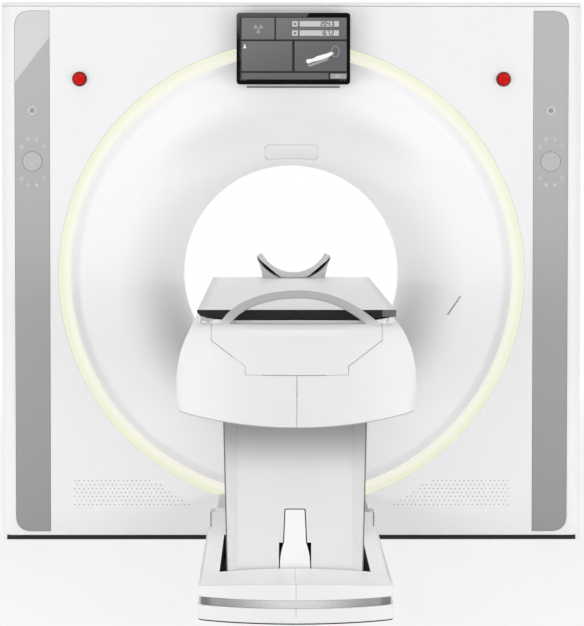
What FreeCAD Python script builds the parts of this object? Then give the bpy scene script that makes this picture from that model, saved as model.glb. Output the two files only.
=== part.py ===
import FreeCAD, Part
import math
import os

# A whole-body CT scanner: a square gantry with a dished front, and a patient table before it.
# Millimetres. The origin is on the floor under the middle of the scan plane.
# +X is to the right for someone at the foot of the table, +Y runs into the bore, +Z is up.

# ---- gantry: outside ----
GANTRY_WIDTH = 1850.0
GANTRY_DEPTH = 850.0
GANTRY_HEIGHT = 1716.0
ISO_HEIGHT = 848.0            # bore axis above the floor
PLINTH_HEIGHT = 15.0
PLINTH_INSET = 13.0
COVER_WALL = 6.0
COVER_RETURN = 60.0           # how far the front and rear covers wrap back
COVER_CORNER_R = 25.0
TOP_COVER_HEIGHT = 12.0
SEAM = 1.0                    # visible gap between neighbouring covers

# ---- gantry: bore and dish ----
ROUND_SIDES = 64              # flats that make up each ring round the bore
BORE_R = 350.0
RING_LIGHT_SIDE_GAP = 28.0     # least bare cover between the ring light and a control strip
RING_LIGHT_TOP_GAP = 125.0     # least bare cover above the ring light
RING_LIGHT_WIDTH = 38.0
RING_LIGHT_PROUD = 2.0
RING_LIGHT_CLEAR = 0.3        # kept by what stands in front of the ring light
DISH_RIM_DEPTH = 8.0
DISH_STEP_WIDTH = 31.0        # the soft step inside the ring light
DISH_STEP_DEPTH = 18.0        # depth of the flat ring from there in to the flare
DISH_FLAT_WIDTH = 114.0       # flat ring between the step and the curve into the bore
THROAT_DEPTH = 280.0          # from the front face to the narrowest circle
DISH_BANDS = 5                # rings that make up the dish's rolled edge
FUNNEL_WALL = 4.0
SCAN_WINDOW_HALF = 36.0
REAR_THROAT_DEPTH = 155.0
REAR_MOUTH_R = 520.0

# ---- gantry: things on the front ----
STRIP_SIDE_MARGIN = 44.0
STRIP_WIDTH = 110.0
STRIP_FOOT_MARGIN = 13.0
STRIP_TOP_MARGIN = 27.0
STRIP_CORNER_R = 50.0
STRIP_THICK = 3.0
STRIP_FIT = 0.5
DISC_DROP = 505.0             # each drop is measured from the gantry's top
DISC_R = 31.0
DISC_THICK = 6.0
DISC_PROUD = 2.5
DISC_TRAVEL = 1.5
DISC_STEM_R = 6.0
DISC_STEM_LENGTH = 14.0
DISC_SIDES = 28
DISC_BEVEL = 1.2
LENS_DROP = 343.0
LENS_R = 16.0
LENS_PROUD = 3.0
STOP_INSET = 250.0            # from the gantry's side
STOP_DROP = 243.0
STOP_HEAD_R = 20.0
STOP_HEAD_THICK = 13.0
STOP_SIDES = 20
STEM_SIDES = 10
STOP_STEM_R = 8.0
STOP_STEM_LENGTH = 34.0
STOP_COLLAR_R = 23.5
STOP_COLLAR_THICK = 4.0
STOP_TRAVEL = 4.0
SWITCH_BODY_HALF = 19.0
PRESS_CLEARANCE = 1.0         # left behind a pressed head at the end of its travel
MONITOR_X = 5.0
MONITOR_DROP = 148.0
MONITOR_WIDTH = 360.0
MONITOR_HEIGHT = 226.0
MONITOR_THICK = 38.0
MONITOR_STANDOFF = 18.0
MONITOR_CORNER_R = 10.0
SCREEN_WIDTH = 338.0
SCREEN_HEIGHT = 198.0
SCREEN_THICK = 2.5
BRACKET_WIDTH = 296.0
BRACKET_HEIGHT = 210.0
BRACKET_DROP = 10.0           # how far the bracket shows below the monitor
APERTURE_WIDTH = 170.0
APERTURE_LOW_R = 374.0
APERTURE_HIGH_R = 416.0
APERTURE_CORNER_R = 14.0
LASER_FOOT = (498.0, -134.0)  # ends of the oblique laser window, from the bore axis
LASER_HEAD = (540.0, -75.0)
LASER_HALF_WIDTH = 4.5
PANE_FIT = 0.3

# ---- gantry: inside ----
BEAM_BACK_Y = 210.0
BEAM_FRONT_Y = 90.0
BEAM_TOP = 82.0
BEAM_END_INSET = 60.0
FRONT_BEAM_TOP = 60.0
FRONT_BEAM_DEPTH = 80.0
GANTRY_ANCHOR_INSET = (125.0, 95.0)
ANCHOR_HOLE_R = 11.0
STATOR_FRONT_Y = 98.0
STATOR_THICK = 40.0
STATOR_SIDE_ROOM = 145.0
STATOR_TOP_ROOM = 76.0
STATOR_CORNER = 330.0
STATOR_WINDOW_EDGE = (50.0, 190.0)
STATOR_WINDOW_HALF_HEIGHT = 330.0
DRUM_FRONT_Y = 60.0
DRUM_THICK = 30.0
DRUM_R = 745.0
DRUM_SIDES = 24
DRUM_BORE_R = 388.0
JOURNAL_R = 430.7             # the drum's journal runs in the stator's bore
BEARING_GAP = 0.6
JOURNAL_BACK_Y = 236.0        # its rear end carries the slip ring's tracks
BRUSH_GAP = 0.6
BRUSH_ANGLE = 225.0
BRUSH_OUTER_R = 540.0
TUBE_RADIUS = 95.0
TUBE_CENTRE_R = 565.0
TUBE_FRONT_Y = -190.0
TUBE_END_R = 62.0
TUBE_END_LENGTH = 28.0
COLLIMATOR_WIDTH = 180.0
COLLIMATOR_LOW_R = 405.0
FOCUS_TO_DETECTOR = 1125.0
DETECTOR_THICK = 70.0
DETECTOR_HALF_ANGLE = 25.0
DETECTOR_FRONT_Y = -60.0
GENERATOR_INNER_X = 485.0
GENERATOR_OUTER_X = 640.0
GENERATOR_HALF_HEIGHT = 152.0
GENERATOR_FRONT_Y = -200.0
COOLER_OUTER_X = 690.0
COOLER_HALF_HEIGHT = 150.0
COOLER_FRONT_Y = -170.0
COOLER_FINS = 7
COOLER_FIN_THICK = 6.0
COOLER_FIN_DEPTH = 40.0
WEIGHT_RADIUS = 560.0
WEIGHT_ANGLE = 43.0
WEIGHT_SIZE = (90.0, 40.0, 50.0)
SHAFT_FIT = 0.08
BELT_GAP = 0.5
TUBE_SIDES = 20

# ---- table: base ----
BASE_HALF_WIDTH = 260.0
BASE_FRONT_Y = -2284.0
BASE_REAR_Y = -835.0
BASE_FRONT_R = 430.0
BASE_CORNER_R = 45.0
BASE_TOP = 104.0
BASE_CROWN_R = 2260.0
BASE_WALL = 10.0
BASE_DECK = 8.0
TRIM_BOTTOM = 42.0
TRIM_TOP = 63.0
TRIM_DEPTH = 6.0
TRIM_THICK = 2.0
WELL_HALF_WIDTH = 206.0
WELL_FRONT_Y = -1938.0
WELL_REAR_Y = -1085.0
FLOOR_FRAME_HALF = BASE_HALF_WIDTH - BASE_WALL
FLOOR_FRAME_FRONT_Y = -2150.0
FLOOR_FRAME_REAR_Y = -860.0
FLOOR_FRAME_THICK = 22.0
TABLE_ANCHOR_X = 205.0
TABLE_ANCHOR_FRONT_Y = -2100.0
TABLE_ANCHOR_REAR_Y = -920.0

# ---- table: column ----
COLUMN_FRONT_Y = -1935.0
COLUMN_REAR_Y = -1100.0
COLUMN_TOP = 570.0
COLUMN_HALF_TOP = 197.0
COLUMN_HALF_BOTTOM = 185.0
COLUMN_WALL = 4.0
COLUMN_FLANGE = 40.0
COLUMN_BAND = 30.0
COLUMN_RECESS = 3.0
COLUMN_BODY_HALF = 181.0
NOTCH_TOP = 267.0
NOTCH_HALF_TOP = 29.0
NOTCH_HALF_STEP = 33.0
NOTCH_STEP_Z = 174.0
NOTCH_HALF_BOTTOM = 44.0
NOTCH_FLARE_HEIGHT = 70.0      # over which the post widens below the step
NOTCH_CORNER_R = 5.0
POST_GAP = 3.0
POST_SET_BACK = 1.0
POST_DEPTH = 70.0

# ---- table: lift ----
LIFT_TRAVEL = 180.0
LIFT_CENTRE_Y = -1520.0
OUTER_TUBE_HALF = 100.0
OUTER_TUBE_WALL = 8.0
OUTER_TUBE_TOP = 560.0
INNER_TUBE_WALL = 6.0
TUBE_CLEARANCE = 0.3
INNER_TUBE_BOTTOM = 260.0
ACTUATOR_HALF = 38.0
ACTUATOR_TOP = 520.0
ROD_R = 20.0
ROD_SIDES = 12
ROD_FIT = 0.3
ROD_BOTTOM = 270.0

# ---- table: upper part ----
TABLE_TOP = 830.0
TABLETOP_THICK = 25.0
TABLETOP_HALF_WIDTH = 255.0
TABLETOP_NEAR_Y = -2433.0
TABLETOP_FAR_Y = -182.0
TABLETOP_CORNER_R = 18.0
FRAME_FRONT_Y = -2330.0
FRAME_REAR_Y = -620.0
RAIL_INNER_X = 212.0
RAIL_OUTER_X = 258.0
RAIL_BOTTOM = 705.0
RAIL_TOP = 780.0
RAIL_WALL = 5.0
LIFT_PLATE_BOTTOM = 776.0
LIFT_PLATE_HALF_LENGTH = 180.0
GUIDE_X = 233.0
GUIDE_WIDTH = 14.0
GUIDE_HEIGHT = 12.0
GUIDE_FIT = 0.3
GUIDE_OVERHANG = 90.0          # how far the rails run out past the frame's front
CARRIAGE_FRONT_Y = -2400.0
CARRIAGE_REAR_Y = -2120.0
CARRIAGE_HALF_WIDTH = 248.0
CARRIAGE_PLATE = 5.0
BLOCK_LENGTH = 70.0
BLOCK_HALF_WIDTH = 14.0
ROLLER_Y = -640.0
ROLLER_R = 11.0
ROLLER_HALF_LENGTH = 196.0
ROLLER_SHAFT_R = 5.0
ROLLER_SIDES = 12
ROLLER_GAP = 0.3
SLIDE_PULLEY_R = 25.0
SLIDE_PULLEY_X = 125.0
SLIDE_PULLEY_Y = -2230.0
IDLER_Y = -700.0
SLIDE_BELT_THICK = 2.0
SLIDE_BELT_BOTTOM = 787.0
SLIDE_BELT_TOP = 797.0
SLIDE_PULLEY_SIDES = 20
SLIDE_MOTOR_HALF = 42.0
SLIDE_MOTOR_LENGTH = 110.0
SLIDE_SHAFT_R = 8.0
FRAME_PLATE = 6.0
BRACKET_THICK = 10.0
BRACKET_LEVEL = 735.0
BRACKET_LENGTH = 40.0
BRACKETS_Y = (-2250.0, -1650.0, -1250.0, -700.0)
NOSE_TAB_HALF = 60.0

# ---- table: shroud ----
# half width and front edge of the shroud at each height, which give its barrel shape and rounded nose
SHROUD_LEVELS = (
    (536.0, 300.0, -2528.0),
    (578.0, 305.0, -2534.0),
    (622.0, 310.0, -2539.0),
    (670.0, 308.5, -2540.0),
    (719.0, 300.0, -2538.0),
    (750.0, 289.0, -2533.0),
    (775.0, 277.0, -2524.0),
    (790.0, 266.0, -2514.0),
    (798.0, 256.0, -2500.0),
)
SHROUD_REAR_Y = -600.0
SHROUD_NOSE_R = 420.0
SHROUD_NOSE_CORNER_R = 90.0
SHROUD_NOSE_FLATS = 12
SHROUD_CORNER_FLATS = 4
SHROUD_WALL = 4.0
SHROUD_RIM_CENTRE = 537.0
SHROUD_RIM_R = 1417.0         # the lower rim sweeps down to the middle
SHROUD_OPENING_HALF = 250.0
SHROUD_OPENING_FRONT_Y = -2425.0
SHROUD_SEAM = 1.0
PANEL_BOTTOM = 672.0
PANEL_STEP = 694.0
PANEL_SHOULDER = 757.0
PANEL_HALF_BOTTOM = 131.0
PANEL_HALF_TOP = 218.0
PANEL_DEPTH = 200.0
HANDLE_X = -8.0
HANDLE_Y = -2447.0
HANDLE_DEPTH = 24.0
HANDLE_THICK = 18.0
HANDLE_OUTER_R = 323.0
HANDLE_TOP = 881.0
HANDLE_HALF_ANGLE = 42.0
HANDLE_LEG = 14.0

# ---- table: head rest ----
REST_NEAR_Y = -273.0
REST_LENGTH = 198.0
REST_CENTRE_X = 8.0
REST_INNER_R = 140.0
REST_PAD_THICK = 12.0
REST_SHELL_THICK = 4.0
REST_HALF_ANGLE = 55.0
REST_FOOT_HALF = 102.0
REST_FOOT_LENGTH = 84.0
REST_PAD_GAP = 0.3
REST_FLATS = 12

# ---- duct cover between table and gantry ----
DUCT_HALF_WIDTH = 236.0
DUCT_TOP = 148.0
DUCT_STEP_INSET = 8.0         # from the base cover's side
DUCT_STEP_TOP = 134.0
DUCT_STEP_LENGTH = 110.0
DUCT_WALL = 5.0
DUCT_CORNER_R = 12.0

# ---- places worked out from the sizes above ----
FACE_Y = -GANTRY_DEPTH / 2
BACK_Y = GANTRY_DEPTH / 2
SIDE_X = GANTRY_WIDTH / 2
COVER_TOP = GANTRY_HEIGHT - TOP_COVER_HEIGHT
STRIP_OUTER_X = SIDE_X - STRIP_SIDE_MARGIN
STRIP_INNER_X = STRIP_OUTER_X - STRIP_WIDTH
STRIP_BOTTOM = PLINTH_HEIGHT + STRIP_FOOT_MARGIN
STRIP_TOP = GANTRY_HEIGHT - STRIP_TOP_MARGIN
DISC_X = (STRIP_INNER_X + STRIP_OUTER_X) / 2
DISC_Z = GANTRY_HEIGHT - DISC_DROP
LENS_Z = GANTRY_HEIGHT - LENS_DROP
STOP_X = SIDE_X - STOP_INSET
STOP_Z = GANTRY_HEIGHT - STOP_DROP
MONITOR_Z = GANTRY_HEIGHT - MONITOR_DROP
GANTRY_ANCHOR_X = SIDE_X - GANTRY_ANCHOR_INSET[0]
GANTRY_ANCHOR_Y = BACK_Y - GANTRY_ANCHOR_INSET[1]
STATOR_HALF_WIDTH = SIDE_X - STATOR_SIDE_ROOM
STATOR_TOP = GANTRY_HEIGHT - STATOR_TOP_ROOM
DUCT_STEP_HALF = BASE_HALF_WIDTH - DUCT_STEP_INSET
ROOM_BESIDE_BORE = STRIP_INNER_X - RING_LIGHT_SIDE_GAP
ROOM_ABOVE_BORE = GANTRY_HEIGHT - ISO_HEIGHT - RING_LIGHT_TOP_GAP
RING_LIGHT_OUTER_R = min(ROOM_BESIDE_BORE, ROOM_ABOVE_BORE)
RING_LIGHT_INNER_R = RING_LIGHT_OUTER_R - RING_LIGHT_WIDTH
DISH_STEP_R = RING_LIGHT_INNER_R - DISH_STEP_WIDTH
DISH_FLARE_R = DISH_STEP_R - DISH_FLAT_WIDTH
THROAT_Y = FACE_Y + THROAT_DEPTH
REAR_THROAT_Y = BACK_Y - REAR_THROAT_DEPTH
COVER_BACK_Y = FACE_Y + COVER_WALL
STATOR_BACK_Y = STATOR_FRONT_Y + STATOR_THICK
STATOR_BORE_R = JOURNAL_R + BEARING_GAP
TABLE_UNDER = TABLE_TOP - TABLETOP_THICK
SHROUD_TOP = SHROUD_LEVELS[-1][0]
RIM_AXIS_Z = SHROUD_RIM_CENTRE + SHROUD_RIM_R

X_AXIS = FreeCAD.Vector(1, 0, 0)
Y_AXIS = FreeCAD.Vector(0, 1, 0)
Z_AXIS = FreeCAD.Vector(0, 0, 1)
ISO = FreeCAD.Vector(0, 0, ISO_HEIGHT)


# ---- simple forms ----
def box(x0, x1, y0, y1, z0, z1):
    corner = FreeCAD.Vector(min(x0, x1), min(y0, y1), z0)
    return Part.makeBox(abs(x1 - x0), abs(y1 - y0), z1 - z0, corner)


def rod_y(radius, y0, y1, x=0.0, z=ISO_HEIGHT):
    return Part.makeCylinder(radius, y1 - y0, FreeCAD.Vector(x, y0, z), Y_AXIS)


def rod_z(radius, z0, z1, x, y):
    return Part.makeCylinder(radius, z1 - z0, FreeCAD.Vector(x, y, z0), Z_AXIS)


def rod_x(radius, x0, x1, y, z):
    return Part.makeCylinder(radius, x1 - x0, FreeCAD.Vector(x0, y, z), X_AXIS)


def ring_y(inner, outer, y0, y1, x=0.0, z=ISO_HEIGHT):
    return rod_y(outer, y0, y1, x, z).cut(rod_y(inner, y0 - 1, y1 + 1, x, z))


def bore_ring(inner, outer, y0, y1):
    return turned_profile(((inner, y0), (inner, y1), (outer, y1), (outer, y0)))


def prism_y(points, y0, y1):
    """A prism along Y from corners given as (x, z)."""
    corners = [FreeCAD.Vector(x, y0, z) for x, z in points]
    outline = Part.makePolygon(corners + corners[:1])
    return Part.Face(outline).extrude(FreeCAD.Vector(0, y1 - y0, 0))


def line(start, end):
    return Part.LineSegment(start, end).toShape()


def arc(start, middle, end):
    return Part.Arc(start, middle, end).toShape()


def round_point(radius, y, turn, x, z):
    return FreeCAD.Vector(x + radius * math.cos(turn), y, z + radius * math.sin(turn))


def flat_band(near, far, sides, x, z):
    """The ring of flats between two (radius, y) circles about an axis along Y."""
    flats = []
    for index in range(sides):
        a = 2 * math.pi * (index + 0.5) / sides
        b = 2 * math.pi * (index + 1.5) / sides
        corners = [
            round_point(near[0], near[1], a, x, z),
            round_point(near[0], near[1], b, x, z),
            round_point(far[0], far[1], b, x, z),
            round_point(far[0], far[1], a, x, z),
        ]
        flats.append(Part.Face(Part.makePolygon(corners + corners[:1])))
    return flats


def closed_solid(faces):
    shell = Part.makeShell(faces)
    shell.sewShape()
    solid = Part.makeSolid(shell)
    return solid if solid.Volume > 0 else solid.reversed()


def turned_profile(points, sides=None):
    """A ring about the bore axis, built of flats, from its closed section in (radius, y)."""
    points = list(points)
    faces = []
    for near, far in zip(points, points[1:] + points[:1]):
        faces += flat_band(near, far, sides or ROUND_SIDES, 0.0, ISO_HEIGHT)
    return closed_solid(faces)


def many_sided(levels, sides, x, z):
    """A round part about an axis along Y, built of flats, from (y, radius) levels along it."""
    faces = []
    for y, radius in (levels[0], levels[-1]):
        turns = [2 * math.pi * (index + 0.5) / sides for index in range(sides + 1)]
        faces.append(Part.Face(Part.makePolygon([round_point(radius, y, turn, x, z) for turn in turns])))
    for (near_y, near_r), (far_y, far_r) in zip(levels, levels[1:]):
        faces += flat_band((near_r, near_y), (far_r, far_y), sides, x, z)
    return closed_solid(faces)


def bore_cutter(radius, y0, y1):
    return many_sided(((y0, radius), (y1, radius)), ROUND_SIDES, 0.0, ISO_HEIGHT)


def upright_many_sided(radius, sides, z0, z1, x, y):
    """An upright post or bore of one radius, built of flats."""
    post = many_sided(((0.0, radius), (z1 - z0, radius)), sides, 0.0, 0.0)
    post.rotate(FreeCAD.Vector(0, 0, 0), X_AXIS, 90)
    post.translate(FreeCAD.Vector(x, y, z0))
    return post


def rounded_plate(half_x, half_z, y0, y1, x, z, radius):
    """An upright plate facing along Y, with its four corners rounded."""
    plate = box(x - half_x, x + half_x, y0, y1, z - half_z, z + half_z)
    return plate.makeFillet(radius, edges_along(plate, Y_AXIS))


def edges_along(shape, axis):
    found = []
    for edge in shape.Edges:
        if not isinstance(edge.Curve, Part.Line):
            continue
        if abs(abs(edge.Curve.Direction.dot(axis)) - 1) < 1e-6:
            found.append(edge)
    return found


def mirrored(shape):
    return shape.mirror(FreeCAD.Vector(0, 0, 0), X_AXIS)


def both_sides(shape):
    return Part.makeCompound([shape, mirrored(shape)])


def spun(shape, degrees):
    """Turn a shape about the bore axis; positive runs from up towards the right."""
    copy = shape.copy()
    copy.rotate(ISO, Y_AXIS, degrees)
    return copy


# ---- gantry covers ----
def cover_tray(face_y, inner_y, mouth_r):
    """A shallow tray that closes the front or the rear of the gantry round its mouth."""
    low, high = sorted((face_y, inner_y))
    tray = box(-SIDE_X, SIDE_X, low, high, PLINTH_HEIGHT, COVER_TOP)
    face_edges = [e for e in edges_along(tray, Z_AXIS) if abs(e.CenterOfMass.y - face_y) < 1]
    tray = tray.makeFillet(COVER_CORNER_R, face_edges)
    inward = COVER_WALL if face_y < inner_y else -COVER_WALL
    hollow = box(
        -SIDE_X + COVER_WALL,
        SIDE_X - COVER_WALL,
        face_y + inward,
        inner_y + inward,
        PLINTH_HEIGHT + COVER_WALL,
        COVER_TOP - COVER_WALL,
    )
    inner_edges = [
        e for e in edges_along(hollow, Z_AXIS) if abs(e.CenterOfMass.y - face_y - inward) < 1
    ]
    hollow = hollow.makeFillet(COVER_CORNER_R - COVER_WALL, inner_edges)
    return tray.cut(hollow).cut(bore_cutter(mouth_r, low - 1, high + 1))


def strip_outline(grow, y0, y1):
    """The right-hand control strip's plate, with its two outer corners rounded."""
    plate = box(
        STRIP_INNER_X - grow,
        STRIP_OUTER_X + grow,
        y0,
        y1,
        STRIP_BOTTOM - grow,
        STRIP_TOP + grow,
    )
    outer = [e for e in edges_along(plate, Y_AXIS) if e.CenterOfMass.x > STRIP_OUTER_X - 1]
    return plate.makeFillet(STRIP_CORNER_R + grow, outer)


def front_cover():
    cover = cover_tray(FACE_Y, FACE_Y + COVER_RETURN, RING_LIGHT_OUTER_R)
    recess = strip_outline(STRIP_FIT, FACE_Y - 1, FACE_Y + STRIP_THICK)
    disc_hole = rod_y(DISC_R + STRIP_FIT, FACE_Y - 1, COVER_BACK_Y + 1, DISC_X, DISC_Z)
    stop_hole = rod_y(STOP_STEM_R + STRIP_FIT, FACE_Y - 1, COVER_BACK_Y + 1, STOP_X, STOP_Z)
    for cutter in (recess, disc_hole, stop_hole):
        cover = cover.cut(cutter).cut(mirrored(cutter))
    return cover


def rear_cover():
    return cover_tray(BACK_Y, BACK_Y - COVER_RETURN, REAR_MOUTH_R + FUNNEL_WALL)


def rear_funnel():
    """The bore's rear half and its flared mouth, from the scan window out to the rear cover."""
    wall = FUNNEL_WALL
    return turned_profile(
        (
            (BORE_R, SCAN_WINDOW_HALF),
            (BORE_R, REAR_THROAT_Y),
            (REAR_MOUTH_R, BACK_Y),
            (REAR_MOUTH_R + wall, BACK_Y),
            (REAR_MOUTH_R + wall, BACK_Y - COVER_WALL),
            (BORE_R + wall, REAR_THROAT_Y - COVER_WALL),
            (BORE_R + wall, SCAN_WINDOW_HALF),
        )
    )


def side_cover():
    """The right-hand side cover: a panel with short return flanges."""
    front = FACE_Y + COVER_RETURN + SEAM
    back = BACK_Y - COVER_RETURN - SEAM
    panel = box(SIDE_X - 30, SIDE_X, front, back, PLINTH_HEIGHT, COVER_TOP)
    hollow = box(
        SIDE_X - 31,
        SIDE_X - COVER_WALL,
        front + COVER_WALL,
        back - COVER_WALL,
        PLINTH_HEIGHT + COVER_WALL,
        COVER_TOP - COVER_WALL,
    )
    return panel.cut(hollow)


def top_cover():
    cap = box(-SIDE_X, SIDE_X, FACE_Y, BACK_Y, COVER_TOP, GANTRY_HEIGHT)
    cap = cap.makeFillet(COVER_CORNER_R, edges_along(cap, Z_AXIS))
    rim = [e for e in cap.Edges if e.BoundBox.ZMin > GANTRY_HEIGHT - 0.1]
    cap = cap.makeChamfer(TOP_COVER_HEIGHT / 2, rim)
    reach = SIDE_X - 2 * COVER_CORNER_R
    depth = BACK_Y - 2 * COVER_CORNER_R
    return cap.cut(box(-reach, reach, -depth, depth, COVER_TOP - 1, GANTRY_HEIGHT - COVER_WALL))


# ---- bore ----
def dish_point(step, wall):
    """A point on the dish's rolled edge: step 0 is at the flare and the last step at the throat."""
    turn = math.pi / 2 * step / DISH_BANDS
    reach_r = DISH_FLARE_R - BORE_R - wall
    reach_y = THROAT_DEPTH - DISH_STEP_DEPTH - wall
    return DISH_FLARE_R - reach_r * math.sin(turn), THROAT_Y - reach_y * math.cos(turn)


def front_funnel():
    """The dish and the bore's front half: a thin shell from the ring light in to the scan window."""
    wall = FUNNEL_WALL
    step_y = FACE_Y + DISH_STEP_DEPTH
    front = [(RING_LIGHT_INNER_R, FACE_Y + RING_LIGHT_PROUD), (DISH_STEP_R, step_y)]
    front += [dish_point(step, 0.0) for step in range(DISH_BANDS + 1)]
    front.append((BORE_R, -SCAN_WINDOW_HALF))
    back = [(BORE_R + wall, -SCAN_WINDOW_HALF)]
    back += [dish_point(step, wall) for step in (DISH_BANDS, DISH_BANDS - 1, DISH_BANDS - 3, 0)]
    back += [(DISH_STEP_R, step_y + wall), (RING_LIGHT_INNER_R, FACE_Y + DISH_RIM_DEPTH + wall)]
    whole = turned_profile(front + back)
    return whole.cut(aperture_prism(0.0)).cut(laser_prism(0.0)), whole


def aperture_prism(shrink):
    low = ISO_HEIGHT + APERTURE_LOW_R + shrink
    high = ISO_HEIGHT + APERTURE_HIGH_R - shrink
    half_height = (high - low) / 2
    return rounded_plate(
        APERTURE_WIDTH / 2 - shrink,
        half_height,
        FACE_Y - 5,
        THROAT_Y - 2,
        0.0,
        low + half_height,
        APERTURE_CORNER_R,
    )


def laser_prism(shrink):
    """The oblique slot for the positioning laser, low on the right of the dish."""
    foot = FreeCAD.Vector(LASER_FOOT[0], 0, ISO_HEIGHT + LASER_FOOT[1])
    head = FreeCAD.Vector(LASER_HEAD[0], 0, ISO_HEIGHT + LASER_HEAD[1])
    along = (head - foot).normalize()
    across = along.cross(Y_AXIS)
    half = LASER_HALF_WIDTH - shrink
    foot = foot + along * shrink
    head = head - along * shrink
    corners = [foot + across * half, head + across * half, head - across * half, foot - across * half]
    return prism_y([(c.x, c.z) for c in corners], FACE_Y - 5, THROAT_Y - 2)


def ring_light():
    return bore_ring(RING_LIGHT_INNER_R, RING_LIGHT_OUTER_R, FACE_Y - RING_LIGHT_PROUD, COVER_BACK_Y)


def clear_of_ring_light(shape):
    front = FACE_Y - RING_LIGHT_PROUD - RING_LIGHT_CLEAR
    return shape.cut(bore_cutter(RING_LIGHT_OUTER_R + RING_LIGHT_CLEAR, front, FACE_Y + 1))


def scan_window():
    """The thin sleeve in front of the fan beam, between the front and rear mouldings."""
    return bore_ring(BORE_R, BORE_R + FUNNEL_WALL, -SCAN_WINDOW_HALF, SCAN_WINDOW_HALF)


def dish_windows(funnel_whole):
    """Flush panes in the dish: the window above the bore and the oblique laser window."""
    panes = [funnel_whole.common(aperture_prism(PANE_FIT)), funnel_whole.common(laser_prism(PANE_FIT))]
    return Part.makeCompound(panes)


# ---- things on the gantry's front ----
def control_strip():
    """The right-hand glass strip, with a hole for its disc; the left one is its mirror image."""
    strip = strip_outline(0.0, FACE_Y, FACE_Y + STRIP_THICK)
    return strip.cut(rod_y(DISC_R + STRIP_FIT, FACE_Y - 1, COVER_BACK_Y, DISC_X, DISC_Z))


def control_disc():
    """The right-hand press disc: a bevelled face on a stem that works the switch behind it."""
    face = FACE_Y - DISC_PROUD
    back = face + DISC_THICK
    levels = ((face, DISC_R - DISC_BEVEL), (face + DISC_BEVEL, DISC_R), (back, DISC_R))
    disc = many_sided(levels, DISC_SIDES, DISC_X, DISC_Z)
    stem = ((back - 0.5, DISC_STEM_R), (back + DISC_STEM_LENGTH, DISC_STEM_R))
    return disc.fuse(many_sided(stem, STEM_SIDES, DISC_X, DISC_Z))


def switch_block(stem_r, stem_end, travel, half, x, z, start):
    """A switch behind the cover: a bored block that guides a stem over its whole travel."""
    depth = stem_end + travel + PRESS_CLEARANCE
    body = box(x - half, x + half, start, depth + COVER_WALL, z - half, z + half)
    bore_r = (stem_r + SHAFT_FIT) / math.cos(math.pi / STEM_SIDES)
    return body.cut(many_sided(((start - 1, bore_r), (depth, bore_r)), STEM_SIDES, x, z))


def disc_switch():
    disc_back = FACE_Y - DISC_PROUD + DISC_THICK
    stem_end = disc_back + DISC_STEM_LENGTH
    half = DISC_R + 2 * COVER_WALL
    block = switch_block(DISC_STEM_R, stem_end, DISC_TRAVEL, half, DISC_X, DISC_Z, COVER_BACK_Y)
    well_end = disc_back + DISC_TRAVEL + PRESS_CLEARANCE
    well_r = DISC_R + STRIP_FIT
    well = many_sided(((COVER_BACK_Y - 1, well_r), (well_end, well_r)), DISC_SIDES, DISC_X, DISC_Z)
    return block.cut(well)


def stop_head():
    """The right-hand emergency stop: a domed mushroom head on a stem."""
    under = FACE_Y - STOP_COLLAR_THICK - STOP_TRAVEL - PRESS_CLEARANCE
    crown = under - STOP_HEAD_THICK
    levels = (
        (crown, 0.6 * STOP_HEAD_R),
        (crown + 0.15 * STOP_HEAD_THICK, 0.85 * STOP_HEAD_R),
        (crown + 0.45 * STOP_HEAD_THICK, STOP_HEAD_R),
        (under, 0.95 * STOP_HEAD_R),
    )
    head = many_sided(levels, STOP_SIDES, STOP_X, STOP_Z)
    stem = ((under - 1, STOP_STEM_R), (under + STOP_STEM_LENGTH, STOP_STEM_R))
    return head.fuse(many_sided(stem, STEM_SIDES, STOP_X, STOP_Z))


def stop_collar():
    face = FACE_Y - STOP_COLLAR_THICK
    bore_r = STOP_STEM_R + STRIP_FIT
    collar = many_sided(((face, STOP_COLLAR_R), (FACE_Y, STOP_COLLAR_R)), STOP_SIDES, STOP_X, STOP_Z)
    bore = many_sided(((face - 1, bore_r), (FACE_Y + 1, bore_r)), STEM_SIDES, STOP_X, STOP_Z)
    return collar.cut(bore)


def stop_switch():
    under = FACE_Y - STOP_COLLAR_THICK - STOP_TRAVEL - PRESS_CLEARANCE
    stem_end = under + STOP_STEM_LENGTH
    half = SWITCH_BODY_HALF
    return switch_block(STOP_STEM_R, stem_end, STOP_TRAVEL, half, STOP_X, STOP_Z, COVER_BACK_Y)


def intercom_lens():
    levels = ((FACE_Y - LENS_PROUD, LENS_R), (FACE_Y, LENS_R))
    return many_sided(levels, STOP_SIDES, DISC_X, LENS_Z)


def monitor_bracket():
    top = MONITOR_Z - MONITOR_HEIGHT / 2 - BRACKET_DROP + BRACKET_HEIGHT
    half = BRACKET_WIDTH / 2
    front = FACE_Y - MONITOR_STANDOFF
    block = box(MONITOR_X - half, MONITOR_X + half, front, FACE_Y, top - BRACKET_HEIGHT, top)
    return clear_of_ring_light(block)


def monitor_housing():
    back = FACE_Y - MONITOR_STANDOFF
    front = back - MONITOR_THICK
    half_x, half_z = MONITOR_WIDTH / 2, MONITOR_HEIGHT / 2
    body = rounded_plate(half_x, half_z, front, back, MONITOR_X, MONITOR_Z, MONITOR_CORNER_R)
    seat = box(
        MONITOR_X - SCREEN_WIDTH / 2 - PANE_FIT,
        MONITOR_X + SCREEN_WIDTH / 2 + PANE_FIT,
        front - 1,
        front + SCREEN_THICK,
        MONITOR_Z - SCREEN_HEIGHT / 2 - PANE_FIT,
        MONITOR_Z + SCREEN_HEIGHT / 2 + PANE_FIT,
    )
    return body.cut(seat)


def monitor_screen():
    front = FACE_Y - MONITOR_STANDOFF - MONITOR_THICK
    return box(
        MONITOR_X - SCREEN_WIDTH / 2,
        MONITOR_X + SCREEN_WIDTH / 2,
        front,
        front + SCREEN_THICK,
        MONITOR_Z - SCREEN_HEIGHT / 2,
        MONITOR_Z + SCREEN_HEIGHT / 2,
    )


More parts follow.
